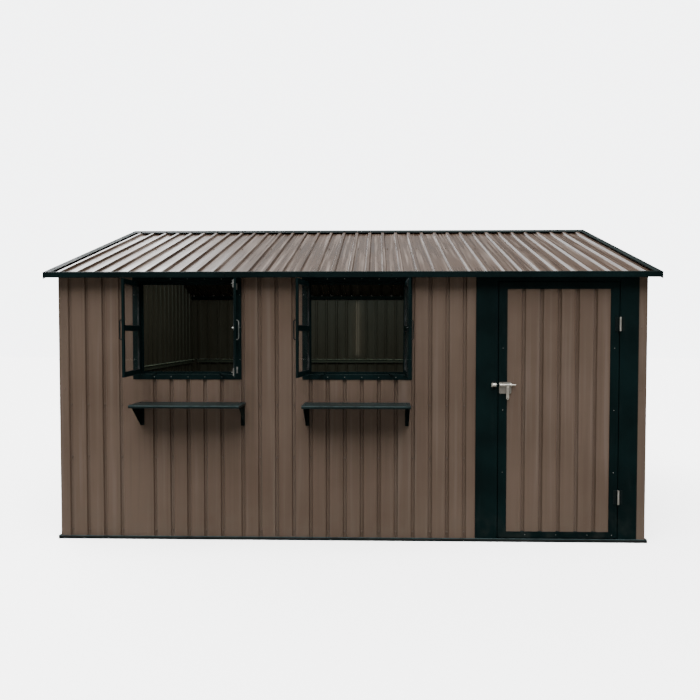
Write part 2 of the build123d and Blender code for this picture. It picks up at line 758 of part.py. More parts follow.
def door_nodes():
    """Doorway, door, hinges and pad bolt."""
    return {
        "door_post_left": door_post(*POST_LEFT),
        "door_post_right": door_post(*POST_RIGHT),
        "door_header": door_header(),
        "door_frame": door_frame(),
        "door_panel": door_panel(),
        "door_hinge_leaves": [door_hinge(low) for low in HINGE_LOWS],
        "post_hinge_leaves": [post_hinge(low) for low in HINGE_LOWS],
        "latch_plate": latch_plate(),
        "latch_bolt": latch_bolt(),
        "latch_keeper": latch_keeper(),
    }


def build():
    """All nodes by name; a list holds like pieces that share one node."""
    gable = gable_sheet()
    nodes = base_rails()
    nodes["corner_posts"] = corner_posts()
    nodes.update(front_sheets())
    nodes["back_wall"] = back_sheet()
    nodes["left_wall"] = gable
    nodes["right_wall"] = to_right(gable)
    nodes["wall_girts"] = wall_girts()
    nodes["top_rails"] = [top_rail(), to_back(top_rail())]
    nodes.update(roof_nodes())
    nodes.update(window_nodes())
    nodes.update(shelf_nodes())
    nodes.update(door_nodes())
    return nodes


def main():
    """Write one file for each node."""
    os.makedirs("parts", exist_ok=True)
    for name, shape in build().items():
        if isinstance(shape, list):
            shape = Compound(children=[solid for part in shape for solid in part.solids()])
        export_step(shape, f"parts/{name}.step")


if __name__ == "__main__":
    main()
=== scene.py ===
"""Looks of a ribbed metal garden shed: paint, plating, glass, fixings, stop bars, beads and studio.

All sizes are in metres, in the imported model's frame: +X along the front, +Y into the shed, +Z up.
"""
import logging
import math
from dataclasses import dataclass, field
from enum import Enum
from typing import ClassVar, Iterator

import bmesh
import bpy
from mathutils import Matrix, Vector


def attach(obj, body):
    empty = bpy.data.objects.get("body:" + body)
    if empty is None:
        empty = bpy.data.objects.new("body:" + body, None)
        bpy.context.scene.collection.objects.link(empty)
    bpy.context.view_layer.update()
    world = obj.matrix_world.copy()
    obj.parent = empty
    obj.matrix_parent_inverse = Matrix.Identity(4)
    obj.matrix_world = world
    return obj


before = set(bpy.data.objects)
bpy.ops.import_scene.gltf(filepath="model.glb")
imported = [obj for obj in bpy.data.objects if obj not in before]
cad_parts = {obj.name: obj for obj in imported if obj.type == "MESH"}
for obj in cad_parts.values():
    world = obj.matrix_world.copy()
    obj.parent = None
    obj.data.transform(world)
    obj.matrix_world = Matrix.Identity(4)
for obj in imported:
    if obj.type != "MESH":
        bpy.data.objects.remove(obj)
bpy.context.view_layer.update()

LOG = logging.getLogger("shed")

Colour = tuple[float, float, float]
Point = tuple[float, float, float]
Bar = tuple[Point, Point]
Span = tuple[float, float]
Socket = bpy.types.NodeSocket

FRONT: Point = (0.0, -1.0, 0.0)
BACK: Point = (0.0, 1.0, 0.0)
LEFT: Point = (-1.0, 0.0, 0.0)
RIGHT: Point = (1.0, 0.0, 0.0)
UP: Point = (0.0, 0.0, 1.0)

WALL_HALF = 2.0
WALL_DEPTH = 3.0
RIB_PITCH = 0.1162
LEFT_GROOVE = -1.936
RIGHT_GROOVE = -0.6314
NODE_STEP = 180.0


class Body(Enum):
    """Bodies that pieces ride on."""

    SHED = "shed"
    DOOR = "door"


class Slot(Enum):
    """Material slots of the record."""

    WALL = "wall_sheet"
    ROOF = "roof_sheet"
    TRIM = "dark_trim"
    SHELF = "shelf_paint"
    FRAME = "galvanised_frame"
    ZINC = "zinc_plate"
    GLASS = "window_glass"


class Run(Enum):
    """Scale of a streak along X, Y and Z, short across it and long along it."""

    UPRIGHT = (26.0, 26.0, 0.7)
    SLOPE = (55.0, 1.1, 1.1)

    def wide(self) -> Point:
        """Scale of the slack in a sheet's pans.

        Returns:
            The streak's scale, made wider across the run.
        """
        fine, share = 20.0, 0.16
        return tuple(share * value if value > fine else value for value in self.value)


class Face(Enum):
    """A wall's outer face: the axis across it, its place and the way into its grooves."""

    FRONT = ("Y", 0.0, 1.0)
    BACK = ("Y", WALL_DEPTH, -1.0)
    LEFT = ("X", -WALL_HALF, 1.0)
    RIGHT = ("X", WALL_HALF, -1.0)
    DOOR = ("Y", -0.002, 1.0)


def scaled(colour: Colour, *shares: float) -> Colour:
    """Scale a colour.

    Args:
        colour: Colour to scale.
        shares: One share for all three channels, or one for each.

    Returns:
        The scaled colour.
    """
    each = shares * len(colour) if len(shares) == 1 else shares
    return tuple(channel * share for channel, share in zip(colour, each))


class NodeBench:
    """Adds and wires the nodes of one tree."""

    def __init__(self, tree: bpy.types.NodeTree) -> None:
        """Take a tree.

        Args:
            tree: Tree that nodes are added to.
        """
        self.tree = tree

    def add(self, kind: str, **settings: object) -> bpy.types.Node:
        """Add a node.

        Args:
            kind: Node type.
            settings: Properties to set on it.

        Returns:
            The node.
        """
        node = self.tree.nodes.new(kind)
        node.location = (len(self.tree.nodes) * NODE_STEP, 0.0)
        for name, value in settings.items():
            setattr(node, name, value)
        return node

    def put(self, value: object, socket: Socket) -> None:
        """Link an output to an input, or set the input to a plain value.

        Args:
            value: Output socket, number, vector or colour.
            socket: Input socket.
        """
        if isinstance(value, Socket):
            self.tree.links.new(value, socket)
        else:
            socket.default_value = value

    def maths(self, operation: str, a: object, b: object = 0.0) -> Socket:
        """Work out a number.

        Args:
            operation: Math node's operation.
            a: First number or output.
            b: Second number or output.

        Returns:
            Output with the result.
        """
        node = self.add("ShaderNodeMath", operation=operation)
        self.put(a, node.inputs[0])
        self.put(b, node.inputs[1])
        return node.outputs[0]

    def off(self, value: Socket, middle: float) -> Socket:
        """Distance of a value from a middle.

        Args:
            value: Output to measure.
            middle: Value that gives 0.

        Returns:
            Output with the distance.
        """
        return self.maths("ABSOLUTE", self.maths("SUBTRACT", value, middle))

    def split(self, vector: Socket) -> bpy.types.NodeOutputs:
        """Split a vector or colour.

        Args:
            vector: Output with the vector.

        Returns:
            Outputs named X, Y and Z.
        """
        node = self.add("ShaderNodeSeparateXYZ")
        self.put(vector, node.inputs[0])
        return node.outputs

    def span(
        self, value: object, low: float, high: float, to_low: float = 0.0, to_high: float = 1.0
    ) -> Socket:
        """Ease a value from one span to another.

        Args:
            value: Output to map.
            low: Value that gives to_low.
            high: Value that gives to_high.
            to_low: Lowest result.
            to_high: Highest result.

        Returns:
            Output with the eased value.
        """
        node = self.add("ShaderNodeMapRange", interpolation_type="SMOOTHSTEP")
        for socket, number in zip(node.inputs, (value, low, high, to_low, to_high)):
            self.put(number, socket)
        return node.outputs[0]

    def blend(self, factor: object, a: object, b: object) -> Socket:
        """Mix two numbers.

        Args:
            factor: Share of the second number.
            a: First number.
            b: Second number.

        Returns:
            Output with the mixed number.
        """
        node = self.add("ShaderNodeMix", data_type="FLOAT")
        sockets = {socket.identifier: socket for socket in node.inputs}
        for name, value in (("Factor_Float", factor), ("A_Float", a), ("B_Float", b)):
            self.put(value, sockets[name])
        return node.outputs[0]

    def mix(self, factor: object, a: object, b: object) -> Socket:
        """Mix two colours.

        Args:
            factor: Share of the second colour.
            a: First colour.
            b: Second colour.

        Returns:
            Output with the mixed colour.
        """
        node = self.add("ShaderNodeMix", data_type="RGBA")
        sockets = {socket.identifier: socket for socket in node.inputs}
        self.put(factor, sockets["Factor_Float"])
        for value, name in ((a, "A_Color"), (b, "B_Color")):
            self.put(value if isinstance(value, Socket) else (*value, 1.0), sockets[name])
        return next(socket for socket in node.outputs if socket.identifier == "Result_Color")

    def noise(
        self, place: object, scale: float, detail: float, stretch: Point = (1.0, 1.0, 1.0), shift: float = 0.0
    ) -> Socket:
        """Cloudy noise over the surface.

        Args:
            place: Coordinates.
            scale: Clouds in a metre.
            detail: Finer layers.
            stretch: Scale along each axis before that.
            shift: Offset that makes one pattern differ from the next.

        Returns:
            Output with the noise, about 0.5.
        """
        mapping = self.add("ShaderNodeMapping")
        self.put(place, mapping.inputs["Vector"])
        mapping.inputs["Scale"].default_value = stretch
        mapping.inputs["Location"].default_value = (shift, shift * 0.7, shift * 0.3)
        node = self.add("ShaderNodeTexNoise")
        self.put(mapping.outputs[0], node.inputs["Vector"])
        node.inputs["Scale"].default_value = scale
        node.inputs["Detail"].default_value = detail
        return node.outputs["Fac"]

    def bump(self, height: object, strength: float, distance: float, normal: object = None) -> Socket:
        """Shade a surface as if it rose and fell.

        Args:
            height: Output with the height.
            strength: Share of the effect.
            distance: Height in metres.
            normal: Normal to start from.

        Returns:
            Output with the normal.
        """
        node = self.add("ShaderNodeBump")
        node.inputs["Strength"].default_value = strength
        node.inputs["Distance"].default_value = distance
        self.put(height, node.inputs["Height"])
        if normal is not None:
            self.put(normal, node.inputs["Normal"])
        return node.outputs[0]


@dataclass(frozen=True)
class Finish:
    """A surface finish on Object coordinates."""

    name: str
    slot: Slot
    colour: Colour
    rough: float = 0.5
    specular: float = 0.3
    metallic: float = 0.0

    def make(self) -> bpy.types.Material:
        """Make the material.

        Returns:
            A material with this finish's nodes.
        """
        material = bpy.data.materials.new(self.name)
        material.use_nodes = True
        shader = material.node_tree.nodes["Principled BSDF"]
        shader.inputs["Base Color"].default_value = (*self.colour, 1.0)
        shader.inputs["Roughness"].default_value = self.rough
        shader.inputs["Specular IOR Level"].default_value = self.specular
        shader.inputs["Metallic"].default_value = self.metallic
        bench = NodeBench(material.node_tree)
        place = bench.add("ShaderNodeTexCoord").outputs["Object"]
        self.paint(bench, shader, place)
        return material

    def paint(self, bench: NodeBench, shader: bpy.types.Node, place: Socket) -> None:
        """Add this finish's own nodes.

        Args:
            bench: Bench on the material's tree.
            shader: Principled shader.
            place: Object coordinates.
        """
        raise NotImplementedError

    def upward(self, bench: NodeBench, low: float, high: float) -> Socket:
        """Share of a surface that faces up.

        Args:
            bench: Bench on the material's tree.
            low: Upward part of the normal that gives 0.
            high: Upward part of the normal that gives 1.

        Returns:
            Output with the share.
        """
        normal = bench.add("ShaderNodeNewGeometry").outputs["Normal"]
        return bench.span(bench.split(normal)["Z"], low, high)


@dataclass(frozen=True)
class SheetPaint(Finish):
    """Coil paint on a profiled sheet: clouds, run-off streaks, splash dirt, fine peel, slack pans and painted
    shade in the grooves.

    The constants are the scale and detail of each noise, and the span of the noise that shows.
    """

    CLOUDS: ClassVar[Span] = (1.7, 4.0)
    STREAKS: ClassVar[Span] = (1.0, 5.0)
    SLACK: ClassVar[Span] = (1.0, 1.0)
    GRAIN: ClassVar[Span] = (420.0, 2.0)
    PATCHES: ClassVar[Span] = (9.0, 5.0)
    FLECKS: ClassVar[Span] = (95.0, 2.0)
    CLOUD_SPAN: ClassVar[Span] = (0.3, 0.7)
    CHALK_SPAN: ClassVar[Span] = (0.51, 0.68)
    DARK_SPAN: ClassVar[Span] = (0.48, 0.34)
    PATCH_SPAN: ClassVar[Span] = (0.35, 0.75)
    FLECK_SPAN: ClassVar[Span] = (0.74, 0.8)

    run: Run = Run.UPRIGHT
    streak: float = 0.22
    slack: float = 0.004
    splash: Colour = (0.09, 0.067, 0.05)
    splash_span: Span = (0.42, 0.02)
    chalk: Colour = (0.145, 0.12, 0.1)
    shift: float = 0.0
    face: Face | None = None
    # Painted shade: depths over which the groove floors are darkened, and the share of that darkening.
    groove: Span = (0.002, 0.011)
    groove_shade: float = 0.18
    fleck: float = 0.35
    gloss_change: float = 0.05
    streak_gloss: float = 0.09

    def weathered(self, bench: NodeBench, share: Socket) -> Socket:
        """Keep run-off marks to the upper side of a sloping sheet.

        Args:
            bench: Bench on the material's tree.
            share: Share of the marks.

        Returns:
            Output with the share that is left.
        """
        if self.run is not Run.SLOPE:
            return share
        return bench.maths("MULTIPLY", share, self.upward(bench, -0.1, 0.2))

    def tinted(self, bench: NodeBench, place: Socket, clouds: Socket, streaks: Socket) -> Socket:
        """Mix the paint's colour with its marks and dirt and with painted shade in the grooves.

        Args:
            bench: Bench on the material's tree.
            place: Object coordinates.
            clouds: Noise of the paint's clouds.
            streaks: Noise of the run-off.

        Returns:
            Output with the colour.
        """
        pale, full = scaled(self.colour, 0.9, 0.89, 0.88), scaled(self.colour, 1.09, 1.1, 1.12)
        tone = bench.mix(bench.span(clouds, *self.CLOUD_SPAN), pale, full)
        chalky = bench.span(streaks, *self.CHALK_SPAN, 0.0, self.streak)
        tone = bench.mix(self.weathered(bench, chalky), tone, self.chalk)
        dark = bench.span(streaks, *self.DARK_SPAN, 0.0, self.streak)
        tone = bench.mix(self.weathered(bench, dark), tone, scaled(self.colour, 0.6, 0.58, 0.56))
        axes = bench.split(place)
        low = bench.span(axes["Z"], *self.splash_span)
        patchy = bench.span(bench.noise(place, *self.PATCHES, shift=self.shift), *self.PATCH_SPAN, 0.05, 0.75)
        tone = bench.mix(bench.maths("MULTIPLY", low, patchy), tone, self.splash)
        # Painted shade: the groove floors are darkened as if shaded by the groove walls.
        if self.face is not None:
            axis, start, way = self.face.value
            shallow, deep = (start + way * depth for depth in self.groove)
            inside = bench.span(axes[axis], shallow, deep, 0.0, self.groove_shade)
            tone = bench.mix(inside, tone, scaled(self.colour, 0.38, 0.36, 0.34))
        flecks = bench.noise(place, *self.FLECKS, shift=self.shift)
        return bench.mix(bench.span(flecks, *self.FLECK_SPAN, 0.0, self.fleck), tone, self.chalk)

    def paint(self, bench: NodeBench, shader: bpy.types.Node, place: Socket) -> None:
        """Add clouds, streaks, dirt, painted groove shade and slack.

        Args:
            bench: Bench on the material's tree.
            shader: Principled shader.
            place: Object coordinates.
        """
        clouds = bench.noise(place, *self.CLOUDS, shift=self.shift)
        streaks = bench.noise(place, *self.STREAKS, self.run.value, self.shift + 3.0)
        bench.put(self.tinted(bench, place, clouds, streaks), shader.inputs["Base Color"])
        low, high = self.rough - self.gloss_change, self.rough + self.gloss_change
        cloudy = bench.span(clouds, *self.CLOUD_SPAN, low, high)
        streaky = bench.span(streaks, 0.25, 0.75, -self.streak_gloss, self.streak_gloss)
        bench.put(bench.maths("ADD", streaky, cloudy), shader.inputs["Roughness"])
        slack = bench.noise(place, *self.SLACK, self.run.wide(), self.shift + 9.0)
        normal = bench.bump(slack, 0.6, self.slack)
        normal = bench.bump(streaks, 0.12, 0.0006, normal)
        grain = bench.noise(place, *self.GRAIN)
        bench.put(bench.bump(grain, 0.12, 0.0003, normal), shader.inputs["Normal"])


@dataclass(frozen=True)
class TrimPaint(Finish):
    """Dark powder coat on folded trim: dust on ledges, rub marks, low dirt, fine peel and a light edge band,
    partly wear and partly painted highlight.

    The constants are the scale and detail of each noise.
    """

    CLOUDS: ClassVar[Span] = (3.1, 4.0)
    RUBS: ClassVar[Span] = (14.0, 6.0)
    PATCHES: ClassVar[Span] = (11.0, 5.0)
    PEEL: ClassVar[Span] = (330.0, 2.0)
    WAVE: ClassVar[Span] = (3.0, 1.0)
    RUB_STRETCH: ClassVar[Point] = (1.0, 1.0, 0.22)
    WAVE_STRETCH: ClassVar[Point] = (2.2, 2.2, 0.6)

    dust: Colour = (0.022, 0.0245, 0.022)
    dust_share: float = 0.4
    dust_top: float = 0.3
    rub: Colour = (0.006, 0.012, 0.012)
    rub_share: float = 0.35
    # Colour of the edge band: partly wear, partly painted highlight.
    edge: Colour = (0.042, 0.062, 0.064)
    wear_and_highlight_at: Span | None = None
    edge_fade: float = 0.0008
    gloss_change: float = 0.05
    dust_dulling: float = 0.1

    def paint(self, bench: NodeBench, shader: bpy.types.Node, place: Socket) -> None:
        """Add dust, rub marks, the light edge band of wear and painted highlight, and peel.

        Args:
            bench: Bench on the material's tree.
            shader: Principled shader.
            place: Object coordinates.
        """
        clouds = bench.noise(place, *self.CLOUDS)
        tone = bench.mix(bench.span(clouds, 0.32, 0.68), scaled(self.colour, 0.75), scaled(self.colour, 1.3))
        rubs = bench.noise(place, *self.RUBS, self.RUB_STRETCH, 5.0)
        tone = bench.mix(bench.span(rubs, 0.58, 0.8, 0.0, self.rub_share), tone, self.rub)
        settled = bench.span(clouds, 0.2, 0.75, 0.35, 1.0)
        ledge = bench.maths("MULTIPLY", self.upward(bench, 0.55, 0.97), settled)
        tone = bench.mix(bench.maths("MULTIPLY", ledge, self.dust_share), tone, self.dust)
        height = bench.split(place)["Z"]
        low = bench.span(height, self.dust_top, 0.0)
        patchy = bench.span(bench.noise(place, *self.PATCHES), 0.42, 0.75, 0.0, 0.45)
        tone = bench.mix(bench.maths("MULTIPLY", low, patchy), tone, self.dust)
        # Edge band: a light band at one height, mottled like wear and partly a painted highlight of light
        # caught on the edge.
        if self.wear_and_highlight_at is not None:
            middle, reach = self.wear_and_highlight_at
            band = bench.span(bench.off(height, middle), reach + self.edge_fade, reach)
            edge_wear_and_highlight = bench.maths("MULTIPLY", band, bench.span(rubs, 0.3, 0.55, 0.45, 1.0))
            tone = bench.mix(edge_wear_and_highlight, tone, self.edge)
        bench.put(tone, shader.inputs["Base Color"])
        cloudy = bench.span(clouds, 0.3, 0.7, self.rough - self.gloss_change, self.rough + self.gloss_change)
        dulled = bench.maths("MULTIPLY", ledge, self.dust_dulling)
        bench.put(bench.maths("ADD", cloudy, dulled), shader.inputs["Roughness"])
        wave = bench.bump(bench.noise(place, *self.WAVE, self.WAVE_STRETCH), 0.3, 0.002)
        bench.put(bench.bump(bench.noise(place, *self.PEEL), 0.14, 0.0003, wave), shader.inputs["Normal"])


@dataclass(frozen=True)
class ZincCoat(Finish):
    """Zinc on steel: crystal spangle, dull bloom and small rust specks, bare in one band or all over; on some
    parts the bare band is a painted highlight, and on some the coat beside it is painted shade.

    The constants are the scale and detail of each noise.
    """

    CLOUDS: ClassVar[Span] = (24.0, 5.0)
    SPECKS: ClassVar[Span] = (150.0, 3.0)
    PITS: ClassVar[Span] = (260.0, 3.0)

    cells: float = 60.0
    bloom: Colour = (0.36, 0.36, 0.35)
    bloom_share: float = 0.6
    rust: Colour = (0.19, 0.085, 0.035)
    rust_share: float = 0.5
    # Band of bare metal beside the coat: real on some parts; on the sash fittings, handles and girts it is a
    # painted highlight, and on the fittings and handles the coat beside it is painted shade.
    bare_and_lit_band: tuple[str, float, float] | None = None
    band_fade: float = 0.0008
    coat: Colour = (0.0016, 0.0042, 0.0043)
    coat_metal: float = 0.0
    cell_gloss: float = 0.06

    def paint(self, bench: NodeBench, shader: bpy.types.Node, place: Socket) -> None:
        """Add spangle, bloom, rust and the coat beside the bare band, which on some parts is a painted
        highlight beside painted shade.

        Args:
            bench: Bench on the material's tree.
            shader: Principled shader.
            place: Object coordinates.
        """
        cell = bench.add("ShaderNodeTexVoronoi")
        bench.put(place, cell.inputs["Vector"])
        cell.inputs["Scale"].default_value = self.cells
        shade = bench.split(cell.outputs["Color"])["X"]
        tone = bench.mix(shade, scaled(self.colour, 0.84), scaled(self.colour, 1.08))
        clouds = bench.noise(place, *self.CLOUDS)
        tone = bench.mix(bench.span(clouds, 0.42, 0.7, 0.0, self.bloom_share), tone, self.bloom)
        specks = bench.span(bench.noise(place, *self.SPECKS), 0.68, 0.76, 0.0, self.rust_share)
        tone = bench.mix(specks, tone, self.rust)
        if self.bare_and_lit_band is not None:
            axis, middle, reach = self.bare_and_lit_band
            off = bench.off(bench.split(place)[axis], middle)
            tone = bench.mix(bench.span(off, reach, reach + self.band_fade), tone, self.coat)
            metal = bench.span(off, reach, reach + self.band_fade, self.metallic, self.coat_metal)
            bench.put(metal, shader.inputs["Metallic"])
        bench.put(tone, shader.inputs["Base Color"])
        crystals = bench.span(shade, 0.0, 1.0, -self.cell_gloss, self.cell_gloss)
        cloudy = bench.span(clouds, 0.3, 0.7, self.rough - 0.05, self.rough + 0.12)
        bench.put(bench.maths("ADD", crystals, cloudy), shader.inputs["Roughness"])
        bench.put(bench.bump(bench.noise(place, *self.PITS), 0.15, 0.0003), shader.inputs["Normal"])


@dataclass(frozen=True)
class DustyGlass(Finish):
    """Float glass with a film of dust and faint wipe marks."""

    film: Colour = (0.3, 0.3, 0.28)
    film_share: float = 0.3
    cover: float = 0.1
    bend: float = 1.46

    def paint(self, bench: NodeBench, shader: bpy.types.Node, place: Socket) -> None:
        """Let light through and add the film.

        Args:
            bench: Bench on the material's tree.
            shader: Principled shader.
            place: Object coordinates.
        """
        shader.inputs["Alpha"].default_value = self.cover
        shader.inputs["IOR"].default_value = self.bend
        wipes = bench.noise(place, 5.0, 5.0, (1.0, 2.6, 1.0))
        film = bench.span(wipes, 0.45, 0.8, 0.0, self.film_share)
        bench.put(bench.mix(film, self.colour, self.film), shader.inputs["Base Color"])
        bench.put(bench.span(wipes, 0.4, 0.85, self.rough, self.rough + 0.06), shader.inputs["Roughness"])
        bench.put(bench.bump(bench.noise(place, 2.2, 1.0), 0.1, 0.002), shader.inputs["Normal"])


@dataclass(frozen=True)
class Rubber(Finish):
    """Glazing rubber with a grey bloom."""

    bloom: Colour = (0.035, 0.036, 0.036)
    gloss_change: float = 0.08

    def paint(self, bench: NodeBench, shader: bpy.types.Node, place: Socket) -> None:
        """Add the bloom.

        Args:
            bench: Bench on the material's tree.
            shader: Principled shader.
            place: Object coordinates.
        """
        clouds = bench.noise(place, 30.0, 4.0)
        tone = bench.mix(bench.span(clouds, 0.4, 0.75), self.colour, self.bloom)
        bench.put(tone, shader.inputs["Base Color"])
        low, high = self.rough - self.gloss_change, self.rough + self.gloss_change
        bench.put(bench.span(clouds, 0.3, 0.7, low, high), shader.inputs["Roughness"])
        bench.put(bench.bump(bench.noise(place, 500.0, 2.0), 0.1, 0.0002), shader.inputs["Normal"])


WALL_BROWN: Colour = (0.088, 0.0605, 0.0442)
ROOF_BROWN: Colour = (0.044, 0.0272, 0.0178)
TRIM_BLACK: Colour = (0.0012, 0.0055, 0.0057)
LATCH_GREY: Colour = (0.5, 0.475, 0.42)

FRONT_PAINT = SheetPaint("front_wall_paint", Slot.WALL, WALL_BROWN, 0.46, 0.2, face=Face.FRONT)
BACK_PAINT = SheetPaint("back_wall_paint", Slot.WALL, WALL_BROWN, 0.46, 0.2, shift=5.0, face=Face.BACK)
LEFT_PAINT = SheetPaint("left_wall_paint", Slot.WALL, WALL_BROWN, 0.46, 0.2, shift=9.0, face=Face.LEFT)
RIGHT_PAINT = SheetPaint("right_wall_paint", Slot.WALL, WALL_BROWN, 0.46, 0.2, shift=17.0, face=Face.RIGHT)
SCREW_PAINT = SheetPaint("screw_paint", Slot.WALL, (0.07, 0.05, 0.038), 0.5, 0.2, shift=2.0)
PANEL_PAINT = SheetPaint(
    "door_panel_paint", Slot.WALL, (0.086, 0.059, 0.0432), 0.46, 0.2, shift=13.0, face=Face.DOOR,
)
CORNER_PAINT = SheetPaint(
    "corner_post_paint", Slot.WALL, (0.087, 0.061, 0.0455), 0.46, 0.2, slack=0.001, shift=21.0,
)
ROOF_PAINT = SheetPaint(
    "roof_paint", Slot.ROOF, ROOF_BROWN, 0.3, 0.32,
    run=Run.SLOPE, streak=0.85, slack=0.006, chalk=(0.126, 0.1, 0.083), shift=31.0,
)
TRIM_PAINT = TrimPaint("trim_paint", Slot.TRIM, TRIM_BLACK, 0.52, 0.05)
BASE_PAINT = TrimPaint(
    "base_rail_paint", Slot.TRIM, (0.009, 0.0115, 0.0112), 0.52, 0.05, wear_and_highlight_at=(0.024, 0.003),
)
# Painted highlight: a light band along the top of the shelves' front lip, where light catches the edge.
SHELF_PAINT = TrimPaint(
    "shelf_paint", Slot.SHELF, (0.0026, 0.0066, 0.0068), 0.42, 0.12,
    dust_share=0.22, wear_and_highlight_at=(0.9436, 0.0026),
)
ZINC = ZincCoat("zinc_plate", Slot.ZINC, (0.46, 0.435, 0.385), 0.5, 0.5, 1.0, rust_share=0.35)
HINGE_ZINC = ZincCoat(
    "hinge_zinc", Slot.ZINC, (0.4, 0.385, 0.35), 0.5, 0.12, 1.0, bare_and_lit_band=("X", 1.813, 0.0055),
)
# Painted highlight and painted shade: the fittings of the left window's right sash are bright zinc, all other
# fittings get the dark coat.
SASH_FITTINGS_LIT_AND_SHADED = ZincCoat(
    "sash_fittings_lit_and_shaded", Slot.ZINC, (0.22, 0.22, 0.21), 0.6, 0.12, 1.0, bare_and_lit_band=("X", -0.745, 0.09),
)
# Painted highlight and painted shade: the handle of the left window's right sash is bright metal, the other
# handles get the dark coat.
HANDLES_LIT_AND_SHADED = ZincCoat(
    "handles_lit_and_shaded", Slot.TRIM, (0.15, 0.16, 0.155), 0.4, 0.12, 1.0, bare_and_lit_band=("X", -0.69, 0.04),
)
LATCH_ZINC = ZincCoat(
    "latch_zinc", Slot.ZINC, LATCH_GREY, 0.5, 0.5, 1.0,
    bare_and_lit_band=("Z", 1.071, 0.0102), coat=(0.235, 0.222, 0.2), coat_metal=1.0,
)
KEEPER_ZINC = ZincCoat("keeper_zinc", Slot.ZINC, LATCH_GREY, 0.5, 0.12, 1.0, bare_and_lit_band=("Z", 1.071, 0.0124))
SCREW_ZINC = ZincCoat("screw_zinc", Slot.ZINC, (0.1, 0.106, 0.1), 0.5, 0.3, 1.0, cells=300.0)
GALVANISED = ZincCoat("galvanised_steel", Slot.FRAME, (0.5, 0.5, 0.5), 0.42, 0.5, 1.0, cells=38.0)
# Painted highlight: a pale band along the top of the girts at one height, as light grazing them; the rest of
# the girt is brown.
GIRT_PAINTED_HIGHLIGHT = ZincCoat(
    "girt_painted_highlight", Slot.FRAME, (0.8, 0.74, 0.58), 0.42, 0.3,
    cells=38.0, bare_and_lit_band=("Z", 1.109, 0.008), coat=(0.1, 0.085, 0.065),
)
GLASS = DustyGlass("dusty_glass", Slot.GLASS, (0.04, 0.05, 0.047), 0.03, 0.8)
RUBBER = Rubber("glazing_rubber", Slot.TRIM, (0.008, 0.009, 0.009), 0.7, 0.2)


class FinishShop:
    """Makes each finish once and puts it on nodes and pieces."""

    def __init__(self) -> None:
        """Start with no materials made."""
        self.made: dict[str, bpy.types.Material] = {}

    def material(self, finish: Finish) -> bpy.types.Material:
        """Get a finish's material.

        Args:
            finish: Finish to make, or to take if it is made.

        Returns:
            Its material.
        """
        if finish.name not in self.made:
            self.made[finish.name] = finish.make()
        return self.made[finish.name]

    def dress(self, finish: Finish, *nodes: str) -> None:
        """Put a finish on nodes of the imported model.

        Args:
            finish: Finish to use.
            nodes: Names of the nodes.
        """
        for name in nodes:
            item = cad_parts[name]
            if not item.material_slots:
                item.data.materials.append(None)
            for slot in item.material_slots:
                slot.material = self.material(finish)
            LOG.info("dressed %s in %s", name, finish.name)


@dataclass(frozen=True)
class Head:
    """Sizes of a screw head and its washer."""

    radius: float
    height: float
    washer: float
    washer_height: float
    sides: int


HEX_HEAD = Head(0.0045, 0.0045, 0.0078, 0.0014, 6)
PAN_HEAD = Head(0.0042, 0.0022, 0.0048, 0.0005, 12)
SMALL_HEAD = Head(0.0028, 0.0012, 0.0033, 0.0004, 12)


@dataclass
class Spots:
    """Places of like fixings, each with the way it faces."""

    places: list[Point] = field(default_factory=list)
    ways: list[Point] = field(default_factory=list)

    def add(self, place: Point, way: Point) -> None:
        """Add one place.

        Args:
            place: Point on the surface.
            way: Direction out of the surface.
        """
        self.places.append(place)
        self.ways.append(way)


class TreeBench(NodeBench):
    """Bench for a geometry tree with named inputs."""

    def __init__(self, name: str) -> None:
        """Make an empty tree with a geometry input and output.

        Args:
            name: Name of the tree.
        """
        super().__init__(bpy.data.node_groups.new(name, "GeometryNodeTree"))
        self.tree.interface.new_socket("Geometry", in_out="INPUT", socket_type="NodeSocketGeometry")
        self.tree.interface.new_socket("Geometry", in_out="OUTPUT", socket_type="NodeSocketGeometry")
        self.start = self.add("NodeGroupInput")
        self.end = self.add("NodeGroupOutput")

    def named(self, name: str, kind: str) -> Socket:
        """Add a named input.

        Args:
            name: Name of the input.
            kind: Socket type, such as Float, Int or Material.

        Returns:
            The input's socket inside the tree.
        """
        self.tree.interface.new_socket(name, in_out="INPUT", socket_type=f"NodeSocket{kind}")
        return self.start.outputs[name]

    def close(self, geometry: Socket, material: Socket) -> None:
        """End the tree with real geometry and a material.

        Args:
            geometry: Geometry to end with.
            material: Material input.
        """
        real = self.add("GeometryNodeRealizeInstances")
        self.put(geometry, real.inputs[0])
        paint = self.add("GeometryNodeSetMaterial")
        self.put(real.outputs[0], paint.inputs["Geometry"])
        self.put(material, paint.inputs["Material"])
        self.put(paint.outputs[0], self.end.inputs[0])

    def run(self, name: str, mesh: bpy.types.Mesh, values: dict[str, object]) -> bpy.types.Object:
        """Run the tree on a mesh and keep a plain mesh.

        Args:
            name: Name of the new piece.
            mesh: Mesh to start from.
            values: Value of each named input.

        Returns:
            An object at the origin with a plain mesh.
        """
        draft = bpy.data.objects.new(name + "_draft", mesh)
        bpy.context.scene.collection.objects.link(draft)
        modifier = draft.modifiers.new("build", "NODES")
        modifier.node_group = self.tree
        for item in self.tree.interface.items_tree:
            if item.in_out == "INPUT" and item.name in values:
                modifier[item.identifier] = values[item.name]
        graph = bpy.context.evaluated_depsgraph_get()
        plain = bpy.data.meshes.new_from_object(draft.evaluated_get(graph), depsgraph=graph)
        draft.modifiers.remove(modifier)
        bpy.data.objects.remove(draft)
        plain.name = name
        shell = bmesh.new()
        shell.from_mesh(plain)
        bmesh.ops.recalc_face_normals(shell, faces=shell.faces)
        shell.to_mesh(plain)
        shell.free()
        piece = bpy.data.objects.new(name, plain)
        bpy.context.scene.collection.objects.link(piece)
        return piece


